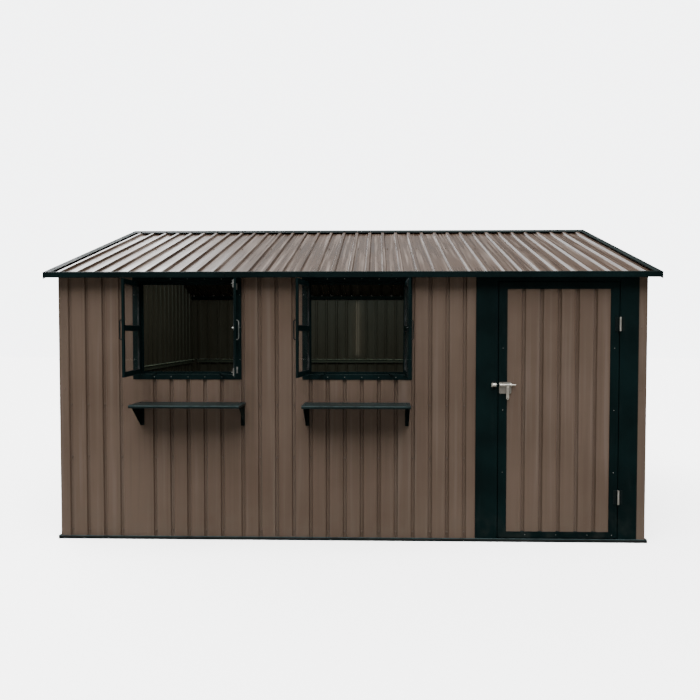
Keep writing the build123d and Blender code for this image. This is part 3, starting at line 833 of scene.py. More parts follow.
class FixingTree(TreeBench):
    """Sets a screw head with a washer on each point, turned to face out and spun at random."""

    WASHER_TAPER: ClassVar[float] = 0.86
    WASHER_SIDES: ClassVar[int] = 14
    HEAD_TAPER: ClassVar[float] = 0.87

    def __init__(self) -> None:
        """Build the tree."""
        super().__init__("fixings")
        radius = self.named("Head radius", "Float")
        height = self.named("Head height", "Float")
        washer = self.named("Washer radius", "Float")
        rise = self.named("Washer height", "Float")
        sides = self.named("Sides", "Int")
        seed = self.named("Seed", "Int")
        material = self.named("Material", "Material")
        washer_top = self.maths("MULTIPLY", washer, self.WASHER_TAPER)
        seat = self.cone(washer, washer_top, rise, self.WASHER_SIDES)
        head = self.cone(radius, self.maths("MULTIPLY", radius, self.HEAD_TAPER), height, sides)
        lift = self.add("ShaderNodeCombineXYZ")
        self.put(rise, lift.inputs["Z"])
        move = self.add("GeometryNodeTransform")
        self.put(head, move.inputs["Geometry"])
        self.put(lift.outputs[0], move.inputs["Translation"])
        join = self.add("GeometryNodeJoinGeometry")
        self.put(seat, join.inputs[0])
        self.put(move.outputs[0], join.inputs[0])
        out = self.add("GeometryNodeInputNamedAttribute", data_type="FLOAT_VECTOR")
        out.inputs["Name"].default_value = "out"
        face = self.add("FunctionNodeAlignRotationToVector", axis="Z")
        self.put(out.outputs[0], face.inputs["Vector"])
        chance = self.add("FunctionNodeRandomValue", data_type="FLOAT")
        chance.inputs[3].default_value = math.tau
        self.put(seed, chance.inputs["Seed"])
        spin = self.add("FunctionNodeAxisAngleToRotation")
        spin.inputs["Axis"].default_value = UP
        self.put(chance.outputs[1], spin.inputs["Angle"])
        turn = self.add("FunctionNodeRotateRotation", rotation_space="LOCAL")
        self.put(face.outputs[0], turn.inputs[0])
        self.put(spin.outputs[0], turn.inputs[1])
        stand = self.add("GeometryNodeInstanceOnPoints")
        self.put(self.start.outputs["Geometry"], stand.inputs["Points"])
        self.put(join.outputs[0], stand.inputs["Instance"])
        self.put(turn.outputs[0], stand.inputs["Rotation"])
        self.close(stand.outputs[0], material)

    def cone(self, bottom: object, top: object, tall: object, sides: object) -> Socket:
        """Add a closed frustum that stands on the XY plane.

        Args:
            bottom: Radius at its foot.
            top: Radius at its top.
            tall: Height.
            sides: Number of sides.

        Returns:
            Output with its mesh.
        """
        node = self.add("GeometryNodeMeshCone", fill_type="NGON")
        sizes = {"Vertices": sides, "Radius Bottom": bottom, "Radius Top": top, "Depth": tall}
        for name, value in sizes.items():
            self.put(value, node.inputs[name])
        return node.outputs["Mesh"]

    def set_heads(
        self, name: str, spots: Spots, head: Head, material: bpy.types.Material, seed: int
    ) -> bpy.types.Object:
        """Make one piece of all heads at some places.

        Args:
            name: Name of the piece.
            spots: Places and ways.
            head: Sizes of the head.
            material: Material of the heads.
            seed: Seed of their spin.

        Returns:
            The piece.
        """
        mesh = bpy.data.meshes.new(name + "_points")
        mesh.from_pydata(spots.places, [], [])
        ways = mesh.attributes.new("out", "FLOAT_VECTOR", "POINT")
        ways.data.foreach_set("vector", [number for way in spots.ways for number in way])
        values = {
            "Head radius": head.radius, "Head height": head.height, "Washer radius": head.washer,
            "Washer height": head.washer_height, "Sides": head.sides, "Seed": seed, "Material": material,
        }
        return self.run(name, mesh, values)


class BeadTree(TreeBench):
    """Lays a round bead along closed lines."""

    SIDES: ClassVar[int] = 8

    def __init__(self) -> None:
        """Build the tree."""
        super().__init__("beads")
        radius = self.named("Bead radius", "Float")
        sides = self.named("Sides", "Int")
        material = self.named("Material", "Material")
        line = self.add("GeometryNodeMeshToCurve")
        self.put(self.start.outputs["Geometry"], line.inputs["Mesh"])
        section = self.add("GeometryNodeCurvePrimitiveCircle")
        self.put(sides, section.inputs["Resolution"])
        self.put(radius, section.inputs["Radius"])
        sweep = self.add("GeometryNodeCurveToMesh")
        self.put(line.outputs[0], sweep.inputs["Curve"])
        self.put(section.outputs["Curve"], sweep.inputs["Profile Curve"])
        self.close(sweep.outputs[0], material)

    def lay(
        self, name: str, loops: list[list[Point]], radius: float, material: bpy.types.Material
    ) -> bpy.types.Object:
        """Make one piece of the beads along some loops.

        Args:
            name: Name of the piece.
            loops: Corners of each closed loop.
            radius: Bead radius.
            material: Material of the beads.

        Returns:
            The piece.
        """
        points = [point for loop in loops for point in loop]
        edges = []
        for loop in loops:
            first = len(edges)
            edges += [(first + i, first + (i + 1) % len(loop)) for i in range(len(loop))]
        mesh = bpy.data.meshes.new(name + "_lines")
        mesh.from_pydata(points, edges, [])
        return self.run(name, mesh, {"Bead radius": radius, "Sides": self.SIDES, "Material": material})


def bar_frame(box: Bar, wide: float, foot: bool) -> list[Bar]:
    """Upright and level bars that follow the edges of a flat box.

    Args:
        box: Low and high corner of the whole frame.
        wide: Width of the bars.
        foot: Whether there is a bar along the foot.

    Returns:
        Low and high corner of each bar.
    """
    (x0, y0, z0), (x1, y1, z1) = box
    bars = [((x0, y0, z0), (x0 + wide, y1, z1)), ((x1 - wide, y0, z0), (x1, y1, z1))]
    for low in (z0, z1 - wide) if foot else (z1 - wide,):
        bars.append(((x0 + wide, y0, low), (x1 - wide, y1, low + wide)))
    return bars


@dataclass
class Workshop:
    """What the sub-assemblies share: finishes and trees."""

    finishes: FinishShop = field(default_factory=FinishShop)
    fixings: FixingTree = field(default_factory=FixingTree)
    beads: BeadTree = field(default_factory=BeadTree)
    count: int = 0
    bar_bevel: float = 0.0007
    bar_rounds: int = 2

    def fix(self, name: str, spots: Spots, head: Head, finish: Finish, body: Body = Body.SHED) -> None:
        """Set screw heads that ride on a body.

        Args:
            name: Name of the piece.
            spots: Places and ways.
            head: Sizes of the head.
            finish: Finish of the heads.
            body: Body that they ride on.
        """
        self.count += 1
        piece = self.fixings.set_heads(name, spots, head, self.finishes.material(finish), self.count)
        self.keep(piece, finish, body)

    def lay_bars(self, name: str, bars: list[Bar], finish: Finish) -> None:
        """Fit plain flat bars on the shed.

        Args:
            name: Name of the piece.
            bars: Low and high corner of each bar.
            finish: Finish of the bars.
        """
        work = bmesh.new()
        for low, high in bars:
            size = Vector(high) - Vector(low)
            place = Matrix.LocRotScale(Vector(low) + size / 2, None, size)
            bmesh.ops.create_cube(work, size=1.0, matrix=place)
        bmesh.ops.bevel(
            work, geom=work.edges[:], offset=self.bar_bevel, segments=self.bar_rounds,
            affect="EDGES", profile=0.5,
        )
        mesh = bpy.data.meshes.new(name)
        work.to_mesh(mesh)
        work.free()
        mesh.materials.append(self.finishes.material(finish))
        piece = bpy.data.objects.new(name, mesh)
        bpy.context.scene.collection.objects.link(piece)
        self.keep(piece, finish)

    def keep(self, piece: bpy.types.Object, finish: Finish, body: Body = Body.SHED) -> None:
        """Tie a finished piece to its body.

        Args:
            piece: The piece.
            finish: Its finish; not used.
            body: Body that it rides on.
        """
        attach(piece, body.value)
        LOG.info("built %s with %d faces on %s", piece.name, len(piece.data.polygons), body.value)


@dataclass(frozen=True)
class GrooveRun:
    """Grooves of a sheet between two edges."""

    start: float
    end: float
    first: float
    pitch: float = RIB_PITCH
    width: float = 0.028
    slope: float = 0.006
    most: int = 60
    touch: float = 1e-6

    def centres(self) -> Iterator[float]:
        """Middles of the grooves that the sheet has.

        Yields:
            Place of each groove's middle.
        """
        low = self.start + self.slope - self.touch
        high = self.end - self.slope + self.touch
        for i in range(self.most):
            left = self.first + i * self.pitch
            if left >= low and left + self.width <= high:
                yield left + self.width / 2


@dataclass
class Walls:
    """Ribbed wall sheets, corner posts and base rails."""

    shop: Workshop
    half: float = WALL_HALF
    depth: float = WALL_DEPTH
    groove: float = 0.012
    left_first: float = LEFT_GROOVE
    right_first: float = RIGHT_GROOVE
    gable_first: float = 0.0581
    left_end: float = -0.756
    right_end: float = 0.852
    corner: float = 0.057
    front_rows: tuple[float, ...] = (0.06, 0.567, 0.927)
    other_rows: tuple[float, ...] = (0.06, 0.567, 1.091, 1.775)
    post_rows: tuple[float, ...] = (0.2, 0.62, 1.04, 1.46)
    post_inset: float = 0.04
    rail_out: float = 0.013
    rail_z: float = 0.013
    front_count: int = 7
    front_step: float = 0.62
    side_count: int = 5
    side_first: float = 0.3
    side_step: float = 0.6

    def dress(self) -> None:
        """Paint the sheets, posts and rails."""
        finishes = self.shop.finishes
        fronts = [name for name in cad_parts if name.startswith("front_wall")]
        finishes.dress(FRONT_PAINT, *fronts)
        finishes.dress(BACK_PAINT, "back_wall")
        finishes.dress(LEFT_PAINT, "left_wall")
        finishes.dress(RIGHT_PAINT, "right_wall")
        finishes.dress(CORNER_PAINT, "corner_posts")
        finishes.dress(BASE_PAINT, *(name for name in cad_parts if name.startswith("base_rail")))

    def sheet_screws(self) -> Spots:
        """Screws in the grooves, where the sheets cross the girts.

        Returns:
            Their places.
        """
        spots = Spots()
        inner = self.half - self.corner
        left = GrooveRun(-inner, self.left_end, self.left_first)
        right = GrooveRun(self.left_end, self.right_end, self.right_first)
        for run in (left, right):
            for x in run.centres():
                for z in self.front_rows:
                    spots.add((x, self.groove, z), FRONT)
        for x in GrooveRun(-inner, inner, self.left_first).centres():
            for z in self.other_rows:
                spots.add((x, self.depth - self.groove, z), BACK)
        gable = GrooveRun(self.corner, self.depth - self.corner, self.corner + self.gable_first)
        for y in gable.centres():
            for z in self.other_rows:
                spots.add((self.groove - self.half, self.depth - y, z), LEFT)
                spots.add((self.half - self.groove, self.depth - y, z), RIGHT)
        return spots

    def post_rivets(self) -> Spots:
        """Rivets along both legs of the corner posts.

        Returns:
            Their places.
        """
        spots = Spots()
        for z in self.post_rows:
            for side, way in ((-1.0, LEFT), (1.0, RIGHT)):
                x = side * (self.half - self.post_inset)
                spots.add((x, 0.0, z), FRONT)
                spots.add((x, self.depth, z), BACK)
                for y in (self.post_inset, self.depth - self.post_inset):
                    spots.add((side * self.half, y, z), way)
        return spots

    def rail_screws(self) -> Spots:
        """Screws along the base rails' outer lips.

        Returns:
            Their places.
        """
        spots = Spots()
        for i in range(self.front_count):
            x = (i - (self.front_count - 1) / 2) * self.front_step
            spots.add((x, -self.rail_out, self.rail_z), FRONT)
            spots.add((x, self.depth + self.rail_out, self.rail_z), BACK)
        for i in range(self.side_count):
            y = self.side_first + i * self.side_step
            spots.add((-self.half - self.rail_out, y, self.rail_z), LEFT)
            spots.add((self.half + self.rail_out, y, self.rail_z), RIGHT)
        return spots

    def build(self) -> None:
        """Set the screws and rivets."""
        self.shop.fix("wall_screws", self.sheet_screws(), HEX_HEAD, SCREW_PAINT)
        self.shop.fix("corner_rivets", self.post_rivets(), PAN_HEAD, CORNER_PAINT)
        self.shop.fix("base_rail_screws", self.rail_screws(), PAN_HEAD, TRIM_PAINT)


@dataclass
class Roof:
    """Ribbed roof sheets, ridge cap, eave and verge trims."""

    shop: Workshop
    angle: float = math.radians(19.0)
    half: float = WALL_HALF
    depth: float = WALL_DEPTH
    overhang: float = 0.067
    under: float = 1.808
    sheet: float = 0.002
    rib: float = 0.018
    pitch: float = RIB_PITCH
    ribs: int = 35
    lines: tuple[float, ...] = (0.085, 0.86, 1.49)
    beside_rib: float = 0.032
    cap_line: float = 1.571
    verge_inset: float = 0.024
    verge_count: int = 5
    verge_first: float = 0.12
    verge_step: float = 0.34
    eave_drop: float = 0.014
    eave_count: int = 8
    eave_step: float = 0.56

    def dress(self) -> None:
        """Paint the roof and its trims."""
        self.shop.finishes.dress(ROOF_PAINT, "roof_front", "roof_back")
        self.shop.finishes.dress(TRIM_PAINT, "ridge_cap", "eave_trims", "verge_trims")

    def slope_pair(self, spots: Spots, x: float, along: float, rise: float) -> None:
        """Add a place on the front slope and its mirror on the back slope.

        Args:
            spots: Places to add to.
            x: Place along the ridge.
            along: Distance up the slope from the eave.
            rise: Height out of the sheet's underside.
        """
        c, s = math.cos(self.angle), math.sin(self.angle)
        y = along * c - rise * s - self.overhang
        z = self.under + along * s + rise * c
        spots.add((x, y, z), (0.0, -s, c))
        spots.add((x, self.depth - y, z), (0.0, s, c))

    def build(self) -> None:
        """Set the roof screws and the trims' rivets."""
        sheet, cap, verge, eave = Spots(), Spots(), Spots(), Spots()
        over_rib = self.rib + self.sheet
        for i in range(self.ribs):
            x = (i - (self.ribs - 1) / 2) * self.pitch
            if i % 2 == 0:
                self.slope_pair(cap, x, self.cap_line, over_rib)
                continue
            for along in self.lines:
                self.slope_pair(sheet, x + self.beside_rib, along, self.sheet)
        for i in range(self.verge_count):
            for side in (-1.0, 1.0):
                x = side * (self.half + self.overhang - self.verge_inset)
                self.slope_pair(verge, x, self.verge_first + i * self.verge_step, over_rib)
        z = self.under + self.rib / math.cos(self.angle) - self.eave_drop
        spread = self.overhang + self.sheet
        for i in range(self.eave_count):
            x = (i - (self.eave_count - 1) / 2) * self.eave_step
            eave.add((x, -spread, z), FRONT)
            eave.add((x, self.depth + spread, z), BACK)
        self.shop.fix("roof_screws", sheet, HEX_HEAD, ROOF_PAINT)
        self.shop.fix("ridge_screws", cap, HEX_HEAD, TRIM_PAINT)
        self.shop.fix("verge_rivets", verge, PAN_HEAD, TRIM_PAINT)
        self.shop.fix("eave_rivets", eave, PAN_HEAD, TRIM_PAINT)


@dataclass(frozen=True)
class Sash:
    """One open sash, drawn about its hinge line."""

    edge: float
    mirrored: bool
    angle: float
    line_y: float = -0.008
    low: float = 1.14

    def world(self, x: float, y: float, z: float) -> Point:
        """Place of a point of the shut sash once it is open.

        Args:
            x: Distance from the hinge line.
            y: Depth behind the outside face.
            z: Height over the sash's foot.

        Returns:
            The place in the shed's frame.
        """
        a = math.radians(-self.angle)
        across = x * math.cos(a) - y * math.sin(a)
        deep = x * math.sin(a) + y * math.cos(a)
        across = -across if self.mirrored else across
        return (self.edge + across, self.line_y + deep, self.low + z)


@dataclass
class Windows:
    """Two windows with a pair of open sashes each."""

    shop: Workshop
    lefts: tuple[float, ...] = (-1.487, -0.325)
    width: float = 0.746
    low: float = 1.103
    high: float = 1.808
    flange: float = 0.04
    foot: float = 0.034
    thick: float = 0.003
    pin_in: float = 0.001
    angles: tuple[tuple[float, float], ...] = ((85.6, 104.4), (97.0, 92.4))
    sash_width: float = 0.3305
    stile: float = 0.022
    lights: tuple[tuple[float, float], ...] = ((0.032, 0.296), (0.328, 0.593))
    hinges: tuple[float, ...] = (0.028, 0.597)
    hinge_steps: tuple[float, ...] = (-0.014, 0.0, 0.014)
    leaf: float = 0.002
    leaf_out: float = 0.011
    groove_firsts: tuple[float, ...] = (LEFT_GROOVE, RIGHT_GROOVE)
    grooves_before: int = 6
    screw_ends: Span = (0.1, 0.06)
    screw_inset: float = 0.01
    screw_rows: tuple[float, ...] = (1.24, 1.4585, 1.68)
    bead: float = 0.002
    bead_faces: tuple[Span, ...] = ((0.0022, 0.0042), (0.0098, -0.0018))
    stop_lip: float = 0.017
    stop_lap: float = 0.012
    stop_front: float = 0.046
    stop_back: float = 0.049

    def dress(self) -> None:
        """Paint the frames and sashes and their fittings: one sash's fittings and handle are bright metal as
        painted highlight, the others dark as painted shade.
        """
        finishes = self.shop.finishes
        sashes = [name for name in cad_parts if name.endswith("_sash")]
        finishes.dress(TRIM_PAINT, "window_frame_left", "window_frame_right", "window_stays", *sashes)
        finishes.dress(SASH_FITTINGS_LIT_AND_SHADED, "window_hinges", "window_bolts")
        finishes.dress(HANDLES_LIT_AND_SHADED, "window_handles")
        finishes.dress(GLASS, "window_glass")

    def sashes(self) -> Iterator[Sash]:
        """The four sashes.

        Yields:
            Each sash at its hinge line.
        """
        inset = self.flange + self.pin_in
        for left, (first, second) in zip(self.lefts, self.angles):
            yield Sash(left + inset, False, first)
            yield Sash(left + self.width - inset, True, second)

    def bead_loops(self) -> list[list[Point]]:
        """Corner points of the glazing beads on both faces of each pane.

        Returns:
            One closed loop for each bead.
        """
        loops = []
        for sash in self.sashes():
            for low, high in self.lights:
                for y, grow in self.bead_faces:
                    x0, x1 = self.stile - grow, self.sash_width - self.stile + grow
                    z0, z1 = low - grow, high + grow
                    corners = ((x0, z0), (x1, z0), (x1, z1), (x0, z1))
                    loops.append([sash.world(x, y, z) for x, z in corners])
        return loops

    def stop_bars(self) -> list[Bar]:
        """Flat bars on the frames' returns, which stand a little into the openings.

        Returns:
            Four bars for each window.
        """
        bars: list[Bar] = []
        reach = self.flange - self.stop_lap
        for left in self.lefts:
            low = (left + reach, self.stop_front, self.low + self.foot - self.stop_lap)
            high = (left + self.width - reach, self.stop_back, self.high - reach)
            bars += bar_frame((low, high), self.stop_lap + self.stop_lip, foot=True)
        return bars

    def frame_screws(self) -> Spots:
        """Screws in the frames' flanges.

        Returns:
            Their places.
        """
        spots = Spots()
        for left, first in zip(self.lefts, self.groove_firsts):
            start, end = left + self.screw_ends[0], left + self.width - self.screw_ends[1]
            for x in GrooveRun(start, end, first - self.grooves_before * RIB_PITCH).centres():
                spots.add((x, -self.thick, self.low + self.foot / 2), FRONT)
                spots.add((x, -self.thick, self.high - self.flange / 2), FRONT)
            for x in (left + self.screw_inset, left + self.width - self.screw_inset):
                for z in self.screw_rows:
                    spots.add((x, -self.thick, z), FRONT)
        return spots

    def hinge_screws(self) -> Spots:
        """Screws in the hinge leaves on the frames.

        Returns:
            Their places.
        """
        spots = Spots()
        for sash in self.sashes():
            x = sash.edge + (self.leaf_out if sash.mirrored else -self.leaf_out)
            for z in self.hinges:
                for step in self.hinge_steps:
                    spots.add((x, -self.thick - self.leaf, sash.low + z + step), FRONT)
        return spots

    def build(self) -> None:
        """Fit the stop bars, lay the glazing beads and set the screws."""
        self.shop.lay_bars("window_stop_bars", self.stop_bars(), TRIM_PAINT)
        rubber = self.shop.finishes.material(RUBBER)
        self.shop.keep(self.shop.beads.lay("glazing_beads", self.bead_loops(), self.bead, rubber), RUBBER)
        self.shop.fix("window_frame_screws", self.frame_screws(), SMALL_HEAD, SCREW_ZINC)
        self.shop.fix("sash_hinge_screws", self.hinge_screws(), SMALL_HEAD, SASH_FITTINGS_LIT_AND_SHADED)


@dataclass
class Shelves:
    """Tray shelves on folded brackets under the windows."""

    shop: Workshop
    spans: tuple[tuple[float, float], ...] = ((-1.444, -0.715), (-0.308, 0.405))
    top: float = 0.948
    screw_inset: float = 0.021
    screw_lines: tuple[float, ...] = (-0.045, -0.13)
    plate: float = 0.0025
    plate_rows: tuple[float, ...] = (0.83, 0.905)

    def dress(self) -> None:
        """Paint the shelves and their brackets."""
        self.shop.finishes.dress(SHELF_PAINT, "shelf_left", "shelf_right")
        self.shop.finishes.dress(TRIM_PAINT, "shelf_brackets")

    def build(self) -> None:
        """Set the screws through the shelves and the brackets."""
        tops, walls = Spots(), Spots()
        for left, right in self.spans:
            for x in (left + self.screw_inset, right - self.screw_inset):
                for y in self.screw_lines:
                    tops.add((x, y, self.top), UP)
                for z in self.plate_rows:
                    walls.add((x, -self.plate, z), FRONT)
        self.shop.fix("shelf_screws", tops, PAN_HEAD, SHELF_PAINT)
        self.shop.fix("bracket_screws", walls, PAN_HEAD, TRIM_PAINT)


@dataclass
class Doorway:
    """Posts, header, door leaf, hinges and pad bolt."""

    shop: Workshop
    face: float = -0.006
    stiles: tuple[float, ...] = (1.034, 1.781)
    stile_rows: tuple[float, ...] = (0.477, 0.9, 1.32)
    rail_z: float = 0.05
    rail_places: tuple[float, ...] = (1.19, 1.4, 1.61, 1.775)
    pin_x: float = 1.813
    hinge_lows: tuple[float, ...] = (0.263, 1.435)
    hinge_rows: tuple[float, ...] = (0.014, 0.0475, 0.081)
    hinge_out: float = 0.02
    hinge_plate: float = 0.003
    latch_plate: float = 0.0025
    latch_spots: tuple[Span, ...] = ((1.02, 1.023), (1.08, 1.023), (1.032, 1.0852), (1.068, 1.0852))
    keeper_x: float = 0.974
    keeper_rows: tuple[float, ...] = (1.0525, 1.0895)
    stop_box: Bar = ((1.0, 0.026, 0.003), (1.816, 0.029, 1.772))
    stop_wide: float = 0.018

    def dress(self) -> None:
        """Paint the doorway and the door and plate the fittings."""
        finishes = self.shop.finishes
        finishes.dress(TRIM_PAINT, "door_post_left", "door_post_right", "door_header", "door_frame")
        finishes.dress(PANEL_PAINT, "door_panel")
        finishes.dress(HINGE_ZINC, "door_hinge_leaves", "post_hinge_leaves")
        finishes.dress(LATCH_ZINC, "latch_plate")
        finishes.dress(ZINC, "latch_bolt")
        finishes.dress(KEEPER_ZINC, "latch_keeper")

    def build(self) -> None:
        """Fit the stop bars behind the leaf and set the screws of leaf, hinges and pad bolt."""
        bars = bar_frame(self.stop_box, self.stop_wide, foot=False)
        self.shop.lay_bars("door_stop_bars", bars, TRIM_PAINT)
        leaf, on_door, on_post, on_latch = Spots(), Spots(), Spots(), Spots()
        for x in self.stiles:
            for z in self.stile_rows:
                leaf.add((x, self.face, z), FRONT)
        for x in self.rail_places:
            leaf.add((x, self.face, self.rail_z), FRONT)
        for low in self.hinge_lows:
            for row in self.hinge_rows:
                on_door.add((self.pin_x - self.hinge_out, self.face - self.hinge_plate, low + row), FRONT)
                on_post.add((self.pin_x + self.hinge_out, self.face - self.hinge_plate, low + row), FRONT)
        for x, z in self.latch_spots:
            on_latch.add((x, self.face - self.latch_plate, z), FRONT)
        for z in self.keeper_rows:
            on_post.add((self.keeper_x, self.face - self.latch_plate, z), FRONT)
        self.shop.fix("door_screws", leaf, SMALL_HEAD, SCREW_ZINC, Body.DOOR)
        self.shop.fix("door_hinge_screws", on_door, SMALL_HEAD, TRIM_PAINT, Body.DOOR)
        self.shop.fix("latch_screws", on_latch, SMALL_HEAD, SCREW_ZINC, Body.DOOR)
        self.shop.fix("post_fitting_screws", on_post, SMALL_HEAD, TRIM_PAINT)


@dataclass
class InnerFrame:
    """Girts, purlins and top rails inside."""

    shop: Workshop

    def dress(self) -> None:
        """Paint the girts brown with a painted highlight along their top, plate the purlins and paint the top
        rails.
        """
        self.shop.finishes.dress(GIRT_PAINTED_HIGHLIGHT, "wall_girts")
        self.shop.finishes.dress(GALVANISED, "roof_purlins")
        self.shop.finishes.dress(TRIM_PAINT, "top_rails")


def hang_lamp(light: bpy.types.Light, place: Point, way: Vector, top: str) -> bpy.types.Object:
    """Hang a light in the studio.

    Args:
        light: Light to hang.
        place: Where it hangs.
        way: Direction that it shines in.
        top: Axis of the light that is kept upright.

    Returns:
        The lamp.
    """
    lamp = bpy.data.objects.new(light.name, light)
    lamp.matrix_world = Matrix.Translation(place) @ way.to_track_quat("-Z", top).to_matrix().to_4x4()
    bpy.context.scene.collection.objects.link(lamp)
    return lamp


@dataclass(frozen=True)
class SoftPanel:
    """A soft rectangular light: where it hangs, the way it shines, its size, power and tint."""

    name: str
    place: Point
    way: Point
    top: str
    size: Span
    power: float
    tint: Colour

    def hang(self) -> None:
        """Hang the light, out of the camera's sight."""
        light = bpy.data.lights.new(self.name, "AREA")
        light.shape = "RECTANGLE"
        light.size, light.size_y = self.size
        light.energy = self.power
        light.color = self.tint
        lamp = hang_lamp(light, self.place, Vector(self.way), self.top)
        lamp.visible_camera = False


INNER_FILL = SoftPanel(
    "inner_fill", (-0.3, 1.3, 2.1), (0.0, 0.75, -1.0), "Y", (2.4, 0.8), 14.0, (0.7, 1.0, 0.9),
)
WALL_GLINT = SoftPanel(
    "wall_glint", (-0.05, 2.962, 1.47), BACK, "Z", (0.02, 0.62), 0.06, (0.86, 1.0, 0.9),
)


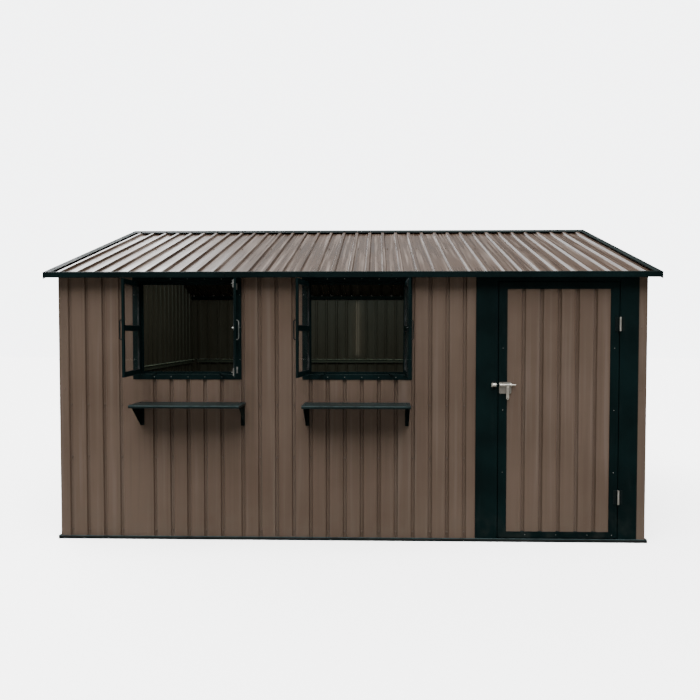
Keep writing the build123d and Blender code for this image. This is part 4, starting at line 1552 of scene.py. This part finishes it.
@dataclass
class Studio:
    """Pale floor, soft sky and key lights, two faint lights inside, and the camera."""

    camera_place: Point = (0.1849, -4.0877, 1.4237)
    yaw: float = math.radians(-1.223)
    pitch: float = math.radians(-1.654)
    roll: float = math.radians(0.039)
    focal: float = 602.1
    middle_x: float = 364.4
    picture: float = 700.0
    sensor: float = 36.0
    far: float = 200.0
    shed_half: float = WALL_HALF
    shed_depth: float = WALL_DEPTH
    floor_size: float = 60.0
    floor_tone: Colour = (0.9, 0.9, 0.9)
    floor_bounce_and_shade: Colour = (0.18, 0.174, 0.158)
    floor_lift: float = 2.2
    floor_rough: float = 0.9
    sky_colour: Colour = (0.97, 0.985, 1.0)
    backdrop: float = 5.75
    dome_span: Span = (0.3, 1.0)
    dome_low: float = 0.13
    dim_span: Span = (0.05, 0.4)
    dim_low: float = 0.35
    glow_way: Point = (-0.7, 0.6, 0.39)
    glow_span: Span = (0.83, 0.97)
    glow: float = 9.8
    rear_span: Span = (0.6, 0.85)
    rear_side: Span = (0.3, 0.0)
    rear: float = 0.22
    key_headings: tuple[float, ...] = (math.radians(-28.0), 0.0, math.radians(28.0))
    key_height: float = math.radians(70.0)
    key_angle: float = math.radians(62.0)
    key_energy: float = 9.8
    key_distance: float = 9.0

    def build(self) -> None:
        """Set up the floor, the lights and the camera."""
        self.lay_floor()
        self.light_sky()
        self.hang_key()
        # The fill lets the inside be read, the glint is like light through a joint of the back sheets.
        INNER_FILL.hang()
        WALL_GLINT.hang()
        self.aim_camera()

    def lay_floor(self) -> None:
        """Lay the floor, pale round the shed and dull inside it, where the dull colour is painted shade on
        the ground under the roof.
        """
        mesh = bpy.data.meshes.new("floor")
        half = self.floor_size / 2
        corners = [(-half, -half, 0), (half, -half, 0), (half, half, 0), (-half, half, 0)]
        mesh.from_pydata(corners, [], [(0, 1, 2, 3)])
        floor = bpy.data.objects.new("floor", mesh)
        bpy.context.scene.collection.objects.link(floor)
        paint = bpy.data.materials.new("pale_floor")
        paint.use_nodes = True
        shader = paint.node_tree.nodes["Principled BSDF"]
        bench = NodeBench(paint.node_tree)
        axes = bench.split(bench.add("ShaderNodeTexCoord").outputs["Object"])
        middle = self.shed_depth / 2
        off_sides = bench.maths("GREATER_THAN", bench.maths("ABSOLUTE", axes["X"]), self.shed_half)
        off_ends = bench.maths("GREATER_THAN", bench.off(axes["Y"], middle), middle)
        seen = bench.add("ShaderNodeLightPath").outputs["Is Camera Ray"]
        # Painted shade: to the camera the floor inside the shed's footprint keeps the dull bounce colour, as
        # shaded ground.
        pale = bench.maths("MULTIPLY", seen, bench.maths("MAXIMUM", off_sides, off_ends))
        bench.put(bench.mix(pale, self.floor_bounce_and_shade, self.floor_tone), shader.inputs["Base Color"])
        shader.inputs["Emission Color"].default_value = (1.0, 1.0, 1.0, 1.0)
        bench.put(bench.maths("MULTIPLY", pale, self.floor_lift), shader.inputs["Emission Strength"])
        shader.inputs["Roughness"].default_value = self.floor_rough
        shader.inputs["Specular IOR Level"].default_value = 0.0
        mesh.materials.append(paint)

    def light_sky(self) -> None:
        """Light the scene with a soft sky, brightest overhead and behind on the left."""
        world = bpy.data.worlds.new("soft_sky")
        bpy.context.scene.world = world
        world.use_nodes = True
        bench = NodeBench(world.node_tree)
        ground = world.node_tree.nodes["Background"]
        way = bench.add("ShaderNodeTexCoord").outputs["Generated"]
        axes = bench.split(way)
        dome = bench.span(axes["Z"], *self.dome_span, self.dome_low, 1.0)
        dim = bench.span(axes["X"], *self.dim_span, 1.0, self.dim_low)
        near = bench.add("ShaderNodeVectorMath", operation="DOT_PRODUCT")
        bench.put(way, near.inputs[0])
        near.inputs[1].default_value = Vector(self.glow_way).normalized()
        glow = bench.span(near.outputs["Value"], *self.glow_span, 0.0, self.glow)
        behind = bench.span(axes["Y"], *self.rear_span)
        rear = bench.maths("MULTIPLY", behind, bench.span(axes["X"], *self.rear_side))
        light = bench.maths("ADD", bench.maths("MULTIPLY", dome, dim), glow)
        light = bench.maths("ADD", light, bench.maths("MULTIPLY", rear, self.rear))
        seen = bench.add("ShaderNodeLightPath").outputs["Is Camera Ray"]
        bench.put(bench.blend(seen, light, self.backdrop), ground.inputs["Strength"])
        ground.inputs["Color"].default_value = (*self.sky_colour, 1.0)

    def hang_key(self) -> None:
        """Hang wide soft lights high over the front, so that eave and shelves shade the wall."""
        for number, heading in enumerate(self.key_headings):
            light = bpy.data.lights.new(f"soft_key_{number}", "SUN")
            light.energy = self.key_energy / len(self.key_headings)
            light.angle = self.key_angle
            high = math.atan(math.tan(self.key_height) * math.cos(heading))
            level = math.cos(high)
            way = Vector((math.sin(heading) * level, math.cos(heading) * level, -math.sin(high)))
            hang_lamp(light, way * -self.key_distance, way, "Y")

    def aim_camera(self) -> None:
        """Put the camera at the photograph's place and angle."""
        level = math.cos(self.pitch)
        forward = Vector((math.sin(self.yaw) * level, math.cos(self.yaw) * level, math.sin(self.pitch)))
        right = Vector((math.cos(self.yaw), -math.sin(self.yaw), 0.0))
        up = right.cross(forward)
        side = right * math.cos(self.roll) + up * math.sin(self.roll)
        top = up * math.cos(self.roll) - right * math.sin(self.roll)
        lens = bpy.data.cameras.new("camera")
        lens.sensor_fit = "HORIZONTAL"
        lens.sensor_width = self.sensor
        lens.lens = self.focal / self.picture * self.sensor
        lens.shift_x = (self.picture / 2 - self.middle_x) / self.picture
        lens.clip_end = self.far
        camera = bpy.data.objects.new("camera", lens)
        turn = Matrix((side, top, -forward)).transposed().to_4x4()
        camera.matrix_world = Matrix.Translation(self.camera_place) @ turn
        bpy.context.scene.collection.objects.link(camera)
        bpy.context.scene.camera = camera


def main() -> None:
    """Build and dress each sub-assembly, then the studio."""
    logging.basicConfig(level=logging.INFO, format="%(name)s: %(message)s")
    shop = Workshop()
    for part in (Walls(shop), Roof(shop), Windows(shop), Shelves(shop), Doorway(shop)):
        part.dress()
        part.build()
    InnerFrame(shop).dress()
    Studio().build()


if __name__ == "__main__":
    main()
